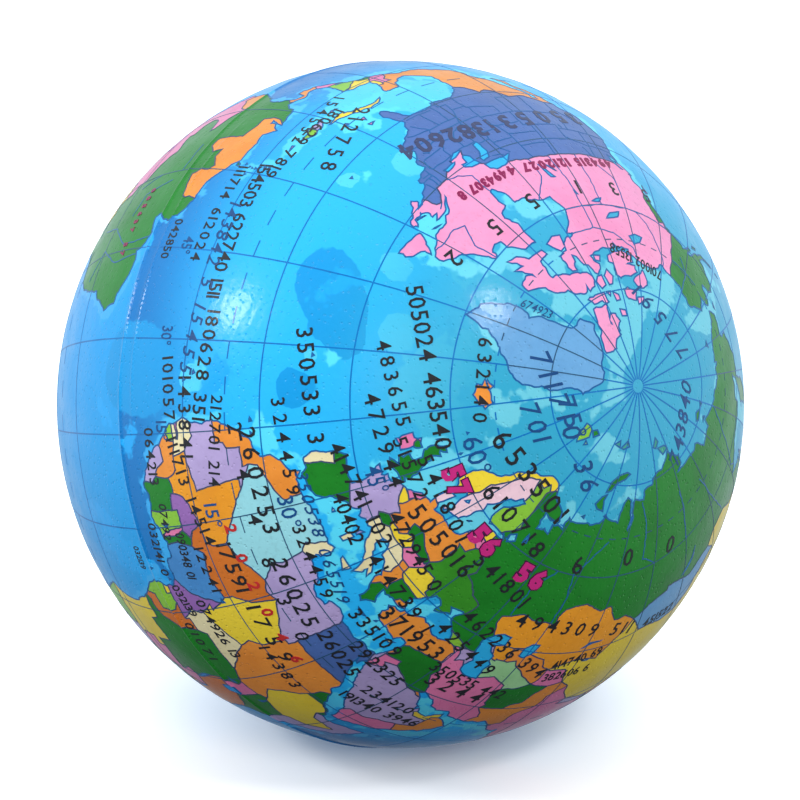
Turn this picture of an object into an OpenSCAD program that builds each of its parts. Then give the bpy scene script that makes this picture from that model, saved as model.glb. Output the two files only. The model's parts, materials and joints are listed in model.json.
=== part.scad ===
// A squeeze ball printed as a world globe.
// One soft foam ball with its own moulded skin, under two printed films that
// meet at the ball's parting ridge. It lies with its polar axis tilted.

/* [Ball] */
// Diameter over the printed films
ball_d = 63; // [50:0.5:90]
// Thickness of the dense skin that the foam forms against its mould
skin_t = 1.2; // [0.6:0.1:3]
// Thickness of each printed film
film_t = 0.15; // [0.12:0.01:0.4]

/* [Parting ridge] */
// How far the ridge that the two mould halves leave stands over the films
ridge_h = 0.08; // [0.02:0.01:0.3]
// Width of that ridge between the two films' rims
ridge_w = 0.5; // [0.2:0.05:2]
// How deep the ridge is rooted in the skin
ridge_root = 0.5; // [0.2:0.1:0.6]

/* [How the ball lies] */
// Height of the north pole above the horizon
pole_lift = 11.5; // [-90:0.5:90]
// Heading of the north pole, from +X towards +Y
pole_heading = -48; // [-180:1:180]

/* [Hidden] */
$fn = 96;
// Radius over the films, over the skin and over the foam
film_r = ball_d / 2;
skin_r = film_r - film_t;
core_r = skin_r - skin_t;

// Turns a solid made round its own polar axis to the way the ball lies
module as_it_lies() {
  rotate([0, 90 - pole_lift, pole_heading])
    children();
}

// The narrow ring of skin that filled the mould's joint at the equator
module parting_ridge() {
  rotate_extrude()
    translate([skin_r - ridge_root, -ridge_w / 2])
      square([ridge_root + film_t + ridge_h, ridge_w]);
}

// Section of a hemispherical film, from its rim beside the ridge to the pole
module film_section() {
  intersection() {
    difference() {
      circle(film_r);
      circle(skin_r);
    }
    translate([0, ridge_w / 2])
      square(ball_d);
  }
}

// Soft open-celled foam that fills the ball
module foam_core() {
  color("ivory")
    sphere(core_r);
}

// Dense outer skin of the foam, one closed shell with its parting ridge
module moulded_skin() {
  color("dodgerblue")
    as_it_lies()
      difference() {
        union() {
          sphere(skin_r);
          parting_ridge();
        }
        sphere(core_r);
      }
}

// Printed film over the northern half
module map_film_north() {
  color("deepskyblue")
    as_it_lies()
      rotate_extrude()
        film_section();
}

// Printed film over the southern half
module map_film_south() {
  color("steelblue")
    as_it_lies()
      mirror([0, 0, 1])
        rotate_extrude()
          film_section();
}

foam_core();
moulded_skin();
map_film_north();
map_film_south();
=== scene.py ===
"""Looks of a soft foam stress ball printed as a world globe.

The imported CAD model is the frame: a foam core in a moulded skin, with the map printed on two
films, north and south of the parting ridge. Here the films become one closed tile for each ink,
cut along coasts and borders given as longitudes and latitudes. The map's lines and figures stand
on the tiles as ink.
"""

import json
import logging
import math
from collections import defaultdict
from dataclasses import dataclass, field
from enum import Enum

import bmesh
import bpy
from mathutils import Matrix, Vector, noise
from mathutils.bvhtree import BVHTree
from mathutils.geometry import delaunay_2d_cdt
from mathutils.kdtree import KDTree


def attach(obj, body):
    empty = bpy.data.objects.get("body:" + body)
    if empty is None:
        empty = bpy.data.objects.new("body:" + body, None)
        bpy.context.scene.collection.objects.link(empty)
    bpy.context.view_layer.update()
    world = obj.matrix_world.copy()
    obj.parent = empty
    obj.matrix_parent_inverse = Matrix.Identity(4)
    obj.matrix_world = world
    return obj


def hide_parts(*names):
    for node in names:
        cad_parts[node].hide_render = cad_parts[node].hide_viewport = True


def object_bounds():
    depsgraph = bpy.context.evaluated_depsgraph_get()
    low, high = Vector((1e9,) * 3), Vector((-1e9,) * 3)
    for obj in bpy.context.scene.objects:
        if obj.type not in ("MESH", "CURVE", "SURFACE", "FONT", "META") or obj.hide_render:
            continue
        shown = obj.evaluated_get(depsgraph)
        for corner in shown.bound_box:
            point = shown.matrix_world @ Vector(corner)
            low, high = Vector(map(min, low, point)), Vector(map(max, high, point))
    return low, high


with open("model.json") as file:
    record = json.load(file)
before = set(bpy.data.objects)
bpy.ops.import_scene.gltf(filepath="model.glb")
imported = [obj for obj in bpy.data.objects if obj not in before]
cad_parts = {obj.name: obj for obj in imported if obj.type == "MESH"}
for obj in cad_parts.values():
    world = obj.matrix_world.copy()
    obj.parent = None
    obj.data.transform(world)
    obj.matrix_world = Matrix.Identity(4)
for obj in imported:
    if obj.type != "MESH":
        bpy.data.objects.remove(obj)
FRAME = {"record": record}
CAD_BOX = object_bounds()

log = logging.getLogger("globe_ball")
MM = 0.001
QUARTER = math.pi / 2
VIEW_TILT = 15.0  # degrees that the camera looks down


def linear(code: str) -> tuple[float, float, float, float]:
    """Linear colour for a paint code.

    Args:
        code: Six hex digits, two each for red, green and blue.

    Returns:
        Red, green, blue and a full alpha, for a shader socket.
    """
    parts = [int(code[i : i + 2], 16) / 255 for i in (0, 2, 4)]
    return (*[p / 12.92 if p <= 0.04045 else ((p + 0.055) / 1.055) ** 2.4 for p in parts], 1.0)


def places(text: str) -> list[tuple[float, float]]:
    """Longitude and latitude pairs from a list such as "10,50 12.5,51"."""
    return [tuple(float(n) for n in pair.split(",")) for pair in text.split()]


class Half(Enum):
    """The two printed films."""

    NORTH = 1
    SOUTH = -1

    @property
    def word(self) -> str:
        """The film's name in piece names."""
        return self.name.lower()


class Rule(Enum):
    """What a drawn line does to the map."""

    COAST = "coast"
    BORDER = "border"
    PROVINCE = "province"
    RIM = "rim"


# ---------------------------------------------------------------- film


@dataclass
class Film:
    """The printed film pulled over the ball: where each longitude and latitude comes to lie."""

    radius: float = 31.5 * MM
    thickness: float = 0.14 * MM
    ridge_height: float = 0.12 * MM
    ridge_width: float = 0.19 * MM
    lap_height: float = 0.085 * MM
    lap_width: float = 0.13 * MM
    facing_meridian: float = -19.4
    slip: tuple[float, float] = (0.0337, -0.045)
    skew: tuple[float, float] = (0.0345, 0.0281)
    stretch: tuple[float, float] = (0.048, -0.094)
    pole: Vector = field(init=False)
    face: Vector = field(init=False)
    side: Vector = field(init=False)

    def __post_init__(self) -> None:
        """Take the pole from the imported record, and the film's two other axes from it."""
        mount = next(m for m in FRAME["record"]["mounts"] if m["name"] == "north_pole")
        self.pole = Vector(mount["axis"]).normalized()
        tilt = math.radians(VIEW_TILT)
        front = Vector((0.0, -math.cos(tilt), math.sin(tilt)))
        self.face = (front - self.pole * front.dot(self.pole)).normalized()
        self.side = self.pole.cross(self.face)

    def spot(self, lon: float, lat: float) -> Vector:
        """Unit direction of a place on the flat, unstretched globe."""
        a, b = math.radians(lon - self.facing_meridian), math.radians(lat)
        return Vector((math.cos(b) * math.cos(a), math.cos(b) * math.sin(a), math.sin(b)))

    def flat(self, spot: Vector, half: Half) -> tuple[float, float]:
        """A place on the round, even chart of one film, measured in radians from its pole."""
        c = math.acos(max(-1.0, min(1.0, half.value * spot.z)))
        r = math.hypot(spot.x, spot.y) or 1e-12
        return (c * spot.x / r, c * spot.y / r)

    def pulled(self, u: float, v: float, half: Half) -> Vector:
        """Unit direction, in the film's own axes, of a chart point after the film is pulled on.

        Args:
            u: Chart distance towards the facing meridian.
            v: Chart distance to its east.
            half: The film.

        Returns:
            The direction, with the pole as z.
        """
        if half is Half.NORTH:
            q = math.hypot(u, v) / QUARTER
            f = 1 - q * q
            k = 1 + f * (self.stretch[0] + self.stretch[1] * q * q)
            u, v = (
                u * k + f * (self.slip[0] + self.skew[0] * u + self.skew[1] * v),
                v * k + f * (self.slip[1] + self.skew[1] * u - self.skew[0] * v),
            )
        r = math.hypot(u, v)
        s = math.sin(r) / r if r > 1e-9 else 1.0
        return Vector((u * s, v * s, half.value * math.cos(r)))

    def rise(self, way: Vector) -> float:
        """How far the moulded surface stands up at a direction, from the ridge and the lap line."""
        d = self.radius * math.asin(max(-1.0, min(1.0, way.z)))
        if abs(d) > 3 * MM:
            return 0.0
        a = math.atan2(way.y, way.x)
        uneven = 1 + 0.35 * noise.noise(Vector((way.x * 9, way.y * 9, 0.3)))
        wander = 0.05 * MM * noise.noise(Vector((way.x * 4, way.y * 4, 7.0)))
        ridge = self.ridge_height * uneven * math.exp(-(((d - wander) / self.ridge_width) ** 2))
        lap_at = 1.62 * MM + 0.12 * MM * math.sin(5 * a) + 2 * wander
        along = math.exp(-(((a + 0.42) / 0.42) ** 4))
        lap = self.lap_height * along * uneven * math.exp(-(((d - lap_at) / self.lap_width) ** 2))
        dip = -0.03 * MM * along * math.exp(-(((d - lap_at + 0.5 * MM) / (0.4 * MM)) ** 2))
        return ridge + lap + dip

    def place(self, way: Vector, lift: float = 0.0) -> Vector:
        """The point in the row frame on the ball's surface in that film direction."""
        out = self.face * way.x + self.side * way.y + self.pole * way.z
        return out * (self.radius + self.rise(way) + lift)

    def normal(self, way: Vector) -> Vector:
        """Outward normal of the moulded surface in the row frame at that film direction."""
        out = (self.face * way.x + self.side * way.y + self.pole * way.z).normalized()
        if abs(way.z) > 0.09:
            return out
        step = 0.0006
        up = Vector((0, 0, 1))
        climb = (up - way * way.z).normalized()
        slope = (self.rise((way + climb * step).normalized())
                 - self.rise((way - climb * step).normalized())) / (2 * step * self.radius)
        tip = self.face * climb.x + self.side * climb.y + self.pole * climb.z
        return (out - tip * slope).normalized()


# ---------------------------------------------------------------- chart


@dataclass
class Line:
    """A drawn line as unit directions on the unstretched globe."""

    rule: Rule
    spots: list[Vector]
    closed: bool


def drawn(film: Film, points: list[tuple[float, float]], rule: Rule, wobble: float,
          step: float = 0.022, closed: bool = False) -> Line:
    """A drawn line, cut into short steps and given the small unevenness of a real coast.

    Args:
        film: The film that gives directions.
        points: Longitude and latitude of each given point.
        rule: What the line does.
        wobble: Size of the unevenness, in radians.
        step: Longest step, in radians.
        closed: Whether the line returns to its start.

    Returns:
        The line.
    """
    ends = [film.spot(*p) for p in points]
    if closed:
        ends.append(ends[0])
    spots = []
    for a, b in zip(ends, ends[1:]):
        n = max(1, math.ceil(a.angle(b) / step))
        spots += [a.lerp(b, i / n).normalized() for i in range(n)]
    if not closed:
        spots.append(ends[-1])
    moved = []
    for s in spots:
        push = noise.noise_vector(s * 18) * 0.5 + noise.noise_vector(s * 55) * 0.6
        moved.append((s + push * wobble).normalized())
    return Line(rule, moved, closed)


def joined(borders: list[Line], shores: list[Line], reach: float = 0.06) -> None:
    """Carry both ends of every border on to the nearest other line, so that no region leaks.

    Args:
        borders: The borders, changed here.
        shores: Coasts and lake shores.
        reach: Widest gap that is closed, in radians.
    """
    lines = [*shores, *borders]
    owner = [n for n, line in enumerate(lines) for _ in line.spots]
    tree = KDTree(len(owner))
    for n, s in enumerate(s for line in lines for s in line.spots):
        tree.insert(s, n)
    tree.balance()
    for n, line in enumerate(borders, len(shores)):
        for end in (0, -1):
            spot, _, gap = tree.find(line.spots[end], filter=lambda i, n=n: owner[i] != n)
            if spot is not None and 1e-7 < gap < reach:
                line.spots.insert(0, spot.copy()) if end == 0 else line.spots.append(spot.copy())


def inside(point: tuple[float, float], loop: list[tuple[float, float]]) -> bool:
    """Whether a chart point lies within a closed loop."""
    x, y = point
    hit = False
    for (x0, y0), (x1, y1) in zip(loop, loop[1:] + loop[:1]):
        if (y0 > y) != (y1 > y) and x < x0 + (y - y0) * (x1 - x0) / (y1 - y0):
            hit = not hit
    return hit


@dataclass
class Chart:
    """One film cut into triangles along its coasts and borders, with an ink for each region."""

    film: Film
    half: Half
    grid: float = 0.036
    points: list[Vector] = field(default_factory=list)
    faces: list[tuple[int, int, int]] = field(default_factory=list)
    rules: dict[tuple[int, int], set[Rule]] = field(default_factory=dict)
    region: list[int] = field(default_factory=list)
    ink: dict[int, str] = field(default_factory=dict)
    land: dict[int, bool] = field(default_factory=dict)
    sides: dict[tuple[int, int], list[int]] = field(default_factory=dict)
    tree: BVHTree | None = None

    def cut(self, lines: list[Line]) -> None:
        """Triangulate the film with every line as an edge.

        Args:
            lines: Coasts, borders and province lines.
        """
        nodes, edges, marks = [], [], []
        rim = 480
        for i in range(rim):
            a = 2 * math.pi * i / rim
            nodes.append((QUARTER * math.cos(a), QUARTER * math.sin(a)))
            edges.append((i, (i + 1) % rim))
            marks.append(Rule.RIM)
        fixed = []
        for line in lines:
            flat = [self.film.flat(s, self.half) for s in line.spots]
            near = [math.hypot(*p) < QUARTER + 0.04 for p in flat]
            count = len(flat)
            index = {}
            for i in range(count if line.closed else count - 1):
                j = (i + 1) % count
                if not (near[i] or near[j]):
                    continue
                for k in (i, j):
                    if k not in index:
                        index[k] = len(nodes)
                        nodes.append(flat[k])
                        fixed.append(flat[k])
                edges.append((index[i], index[j]))
                marks.append(line.rule)
        taken = defaultdict(list)
        cell = self.grid
        for p in fixed:
            taken[(int(p[0] // cell), int(p[1] // cell))].append(p)

        def crowded(p: tuple[float, float], gap: float) -> bool:
            """Whether a drawn point is closer than the gap."""
            cx, cy = int(p[0] // cell), int(p[1] // cell)
            return any(
                math.dist(p, q) < gap
                for dx in (-1, 0, 1)
                for dy in (-1, 0, 1)
                for q in taken.get((cx + dx, cy + dy), ())
            )

        rows = [0.0035, 0.007, 0.011, 0.016, 0.022]
        if self.half is Half.NORTH:
            rows += [0.028, 0.034, 0.04, 0.0435, 0.047, 0.0505, 0.054, 0.058, 0.064, 0.072]
        else:
            rows += [0.032, 0.045]
        for n, back in enumerate(rows):
            r = QUARTER - back
            for i in range(rim):
                a = 2 * math.pi * (i + 0.5 * (n % 2)) / rim
                p = (r * math.cos(a), r * math.sin(a))
                if not crowded(p, 0.0025):
                    nodes.append(p)
        reach = QUARTER - rows[-1] - 0.02
        high = int(reach / (self.grid * 0.866)) + 1
        for row in range(-high, high + 1):
            y = row * self.grid * 0.866
            for col in range(-high, high + 1):
                p = ((col + 0.5 * (row % 2)) * self.grid, y)
                if math.hypot(*p) < reach and not crowded(p, self.grid * 0.38):
                    nodes.append(p)
        made = delaunay_2d_cdt([Vector(n) for n in nodes], edges, [], 0, 1e-6, True)
        self.points = list(made[0])
        for face in made[2]:
            mid = sum((self.points[i] for i in face), Vector((0, 0))) / 3
            if mid.length < QUARTER * 0.99999:
                self.faces.append(tuple(face))
        for edge, owners in zip(made[1], made[4]):
            found = {marks[o] for o in owners if o < len(marks)}
            if found:
                self.rules[(min(edge), max(edge))] = found

    def flood(self, coasts: list[Line], waters: list[Line],
              seeds: list[tuple[float, float, str]]) -> None:
        """Find the regions between coasts and borders and give each its ink.

        Args:
            coasts: Closed coasts.
            waters: Closed lake shores.
            seeds: Longitude, latitude and ink of each country.
        """
        sides = defaultdict(list)
        for f, face in enumerate(self.faces):
            for a, b in zip(face, face[1:] + face[:1]):
                sides[(min(a, b), max(a, b))].append(f)
        self.sides = sides
        self.region = [-1] * len(self.faces)
        wall = {Rule.COAST, Rule.BORDER, Rule.RIM}
        count = 0
        for start in range(len(self.faces)):
            if self.region[start] >= 0:
                continue
            self.region[start] = count
            todo = [start]
            while todo:
                f = todo.pop()
                face = self.faces[f]
                for a, b in zip(face, face[1:] + face[:1]):
                    key = (min(a, b), max(a, b))
                    if self.rules.get(key, set()) & wall:
                        continue
                    for g in sides[key]:
                        if self.region[g] < 0:
                            self.region[g] = count
                            todo.append(g)
            count += 1
        biggest = {}
        for f, face in enumerate(self.faces):
            a, b, c = (self.points[i] for i in face)
            size = abs((b - a).cross(c - a))
            if size > biggest.get(self.region[f], (0, None))[0]:
                biggest[self.region[f]] = (size, (a + b + c) / 3)
        def charted(group: list[Line]) -> list[list[tuple[float, float]]]:
            """The loops that reach this film, on its chart."""
            flat = [[self.film.flat(s, self.half) for s in line.spots] for line in group]
            return [lp for lp in flat if min(math.hypot(*p) for p in lp) < QUARTER + 0.05]

        loops, lakes = charted(coasts), charted(waters)
        boxes = [(min(p[0] for p in lp), max(p[0] for p in lp), min(p[1] for p in lp),
                  max(p[1] for p in lp)) for lp in loops + lakes]

        def within(p: Vector, group: list, start: int) -> bool:
            """Whether the point is inside any loop of a group."""
            for n, lp in enumerate(group):
                x0, x1, y0, y1 = boxes[start + n]
                if x0 < p[0] < x1 and y0 < p[1] < y1 and inside((p[0], p[1]), lp):
                    return True
            return False

        for r, (_, mid) in biggest.items():
            self.land[r] = within(mid, loops, 0) and not within(mid, lakes, len(loops))
        tree = self.tree = BVHTree.FromPolygons([(*p, 0.0) for p in self.points], self.faces)
        marks = []
        for lon, lat, ink in seeds:
            if self.half.value * lat < -0.01:
                continue
            x, y = self.film.flat(self.film.spot(lon, lat), self.half)
            hit = tree.ray_cast(Vector((x, y, 1.0)), Vector((0, 0, -1)))[2]
            marks.append((Vector((x, y)), ink))
            if hit is None:
                continue
            r = self.region[hit]
            if not self.land[r]:
                log.warning("seed %s at %s,%s lies in water", ink, lon, lat)
            elif r in self.ink and self.ink[r] != ink:
                log.warning("seed %s at %s,%s shares a region with %s", ink, lon, lat, self.ink[r])
            self.ink.setdefault(r, ink) if self.land[r] else None
        for r, (_, mid) in biggest.items():
            if self.land[r] and r not in self.ink:
                self.ink[r] = min(marks, key=lambda m: (m[0] - mid).length)[1]
            elif not self.land[r]:
                self.ink[r] = "sea"

    def dry(self, u: float, v: float) -> bool:
        """Whether a chart point lies on land."""
        hit = self.tree.ray_cast(Vector((u, v, 1.0)), Vector((0, 0, -1)))[2]
        return hit is not None and self.land[self.region[hit]]

    def kept(self, rule: Rule) -> list[list[Vector]]:
        """The edges of one rule that show, joined into runs of chart points.

        Args:
            rule: Coast, border or province.

        Returns:
            Runs of chart points.
        """
        links = defaultdict(list)
        for key, found in self.rules.items():
            faces = self.sides.get(key, [])
            if rule not in found or len(faces) != 2:
                continue
            one, two = (self.region[f] for f in faces)
            if rule is Rule.COAST:
                shows = self.land[one] != self.land[two]
            elif rule is Rule.BORDER:
                shows = self.land[one] and self.land[two] and one != two
                shows = shows and self.ink[one] != self.ink[two]
            else:
                shows = self.land[one] and self.land[two] and one == two
            if shows:
                links[key[0]].append(key[1])
                links[key[1]].append(key[0])
        runs, used = [], set()
        starts = [n for n in links if len(links[n]) != 2] + list(links)
        for start in starts:
            for step in links[start]:
                if (start, step) in used:
                    continue
                run = [start, step]
                used |= {(start, step), (step, start)}
                while len(links[run[-1]]) == 2:
                    after = [n for n in links[run[-1]] if (run[-1], n) not in used]
                    if not after:
                        break
                    used |= {(run[-1], after[0]), (after[0], run[-1])}
                    run.append(after[0])
                runs.append([self.points[n] for n in run])
        return runs


# ---------------------------------------------------------------- the drawn map


AMERICAS = """-168,65.6 -166,64.6 -161.2,64.4 -161,63.5 -164.6,63.1 -166,61.7 -164.5,60.2 -162,59.8 -160,58.8
-157.5,58.7 -158,57.4 -160.5,56 -163,55.2 -164.8,54.6 -161,55.1 -158.5,55.9 -156,57.3 -154,58.6
-153,59.7 -151.5,61 -149.8,61.2 -151.6,59.4 -149.5,59.8 -147,60.9 -144.5,60.1 -141,59.8 -138.5,59.1
-136.4,58.2 -134.5,57.2 -132.6,55.8 -130.5,54.8 -130.2,53.8 -128.3,52.4 -127.3,50.9 -124.6,49.9
-122.9,49 -122.4,47.4 -124.6,48.3 -124,46.2 -124.4,43 -124.1,40.5 -122.5,37.8 -121.8,36.6 -120.6,34.6
-118.4,34 -117.1,32.5 -116,30.3 -114.2,28.2 -112.3,26.2 -111.8,24.5 -110.2,23 -109.5,23.3 -110.8,24.9
-111.8,27 -113.4,29.3 -114.7,31.6 -113.2,31.3 -112.2,29 -110.5,27.3 -109.3,26.2 -107.8,24.6 -106,23
-105.3,21.4 -105.6,20.3 -103.8,18.5 -101,17.4 -97.5,15.9 -95,16.1 -93.5,15.7 -92.1,14.4 -90,13.7
-87.6,13 -86.5,12 -85.8,10.6 -84.6,9.7 -83.5,8.5 -81.2,7.5 -80.3,7.6 -79.7,8.8 -78.6,8.6 -78,7.3
-77.4,5.6 -77.4,4 -78.7,2.3 -79.5,1 -80.2,0 -80.9,-1.8 -80.1,-3.2 -81.3,-4.7 -80.5,-6.5 -79.2,-8.3
-77.8,-10.8 -76.3,-13.8 -74.2,-15.9 -71.3,-17.7 -70.3,-20 -70.5,-24 -71.5,-29 -71.7,-33 -73.4,-37
-73.8,-41.5 -75,-46.5 -75.4,-50 -73.5,-53 -70,-55 -66.5,-55 -68.5,-53 -69.2,-51.3 -67.6,-49 -65.8,-47.6
-67.4,-46 -65.3,-44.6 -64,-42.5 -65,-41 -62.4,-40.6 -62,-39 -58,-38.3 -56.8,-36.4 -58.3,-34.3
-56.2,-34.9 -53.8,-34.2 -51,-31.2 -48.8,-28.5 -48.4,-25.9 -45,-23.5 -42,-22.9 -40.3,-20.5 -39.1,-17.5
-38.7,-13 -36.8,-10.7 -34.9,-7.8 -35.3,-5.2 -37.3,-4.7 -40,-2.9 -42.8,-2.4 -44.4,-2.8 -46,-1 -48,-0.6
-49.2,-1.6 -50.6,-1.9 -51.3,-0.6 -50.2,0.6 -49.9,1.8 -51.1,3.6 -51.9,4.6 -53.6,5.7 -55.8,5.9 -57.4,6.2
-58.6,7.4 -60.2,8.5 -61.8,9.7 -62.2,10.6 -64.4,10.2 -66.3,10.6 -68.2,10.7 -69.9,12.1 -70.6,11.3
-71.4,10.8 -71.1,9.6 -72,9.4 -71.8,10.9 -71.4,12.3 -73,11.4 -74.5,11.1 -75.4,10.5 -76,9.3 -76.9,8.3
-77.6,8.8 -79.2,9.5 -81.2,8.8 -82.6,9.4 -83.6,10.8 -83.5,12.8 -83.2,14.8 -84.5,15.7 -86.5,15.8 -88.3,15.8
-88.3,17.2 -87.7,18.6 -87.4,20 -86.9,21.4 -88.4,21.6 -90.2,21.1 -90.6,19.7 -91.8,18.7 -94.2,18.2
-95.9,18.9 -97.2,20.5 -97.8,22.4 -97.5,25 -97.2,27.5 -95.5,28.7 -93.9,29.7 -91.8,29.6 -90.2,29.2
-89.2,29.1 -89.3,30.2 -87.2,30.4 -85.4,29.8 -84,30.1 -82.9,29.1 -82.7,27.8 -81.9,26.3 -81,25.2
-80.3,25.5 -80.1,26.9 -80.8,28.8 -81.4,30.6 -80,32.6 -78,33.9 -76.2,34.8 -75.7,35.5 -76.3,37.2 -75.4,38.2
-74.3,39.6 -74,40.8 -72,41.2 -70.6,41.6 -70.2,42.2 -70.9,42.8 -69.5,43.9 -67.3,44.6 -65.9,45.2
-64.8,45.5 -66,44.3 -65.5,43.5 -63.7,44.6 -61.2,45.3 -60.1,46.1 -60.8,46.9 -62,45.9 -64.1,46.2 -64.9,47.4
-64.6,48 -66,48 -64.4,48.8 -66.6,49.1 -69.3,48 -71.1,46.9 -69.6,48.2 -67.2,49.4 -65,50.2 -61,50.1
-58.6,51.2 -56,52 -55.8,53.2 -57.4,54.5 -59.6,55.2 -61.4,56.8 -62.2,58.2 -64.2,60.2 -65.3,59.6 -65.9,58.7
-67.7,58.3 -69.5,58.9 -69.8,60.4 -71.5,61.3 -73.8,62.3 -77.6,62.5 -77.9,61.2 -77.6,60 -78.5,58.8
-77.1,57.7 -76.5,56.4 -77.5,55.5 -79.6,54.6 -78.9,53.2 -79.2,51.5 -80.4,51.2 -81.2,52.4 -82.2,53.1
-82.4,55.1 -85.2,55.3 -88,56.5 -90.5,57.2 -92.6,57 -94.2,58.4 -94.8,59.8 -93.8,61.3 -92,62.7 -90.6,63.6
-92.5,64.2 -89,64.2 -87,65.3 -86,66.3 -84,66.3 -82.5,66.5 -81.3,67.3 -81.6,68.7 -83,69.7 -85.2,69.7
-85.6,68.8 -87.2,67.3 -88.2,68 -89.5,69.2 -91.2,69.7 -92.3,71 -93.8,71.9 -95.7,71.2 -96.3,70.1 -94.8,69.1
-94,68.3 -97,68 -99.3,67.8 -103,67.9 -106.4,68.4 -108,67.3 -109.5,67.9 -112.5,67.7 -115.2,67.9
-114.5,68.8 -117.4,69 -121.2,69.8 -124.3,70.1 -127.2,70.2 -130,70.1 -133.5,69.5 -136,68.9 -138.7,69.4
-141.5,69.7 -146,70.1 -150.5,70.5 -154.2,70.9 -156.7,71.3 -160.2,70.5 -163.2,69.5 -166.2,68.5
-164.2,67.7 -162,66.7 -163.8,66.4 -166.5,66.3"""

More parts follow.
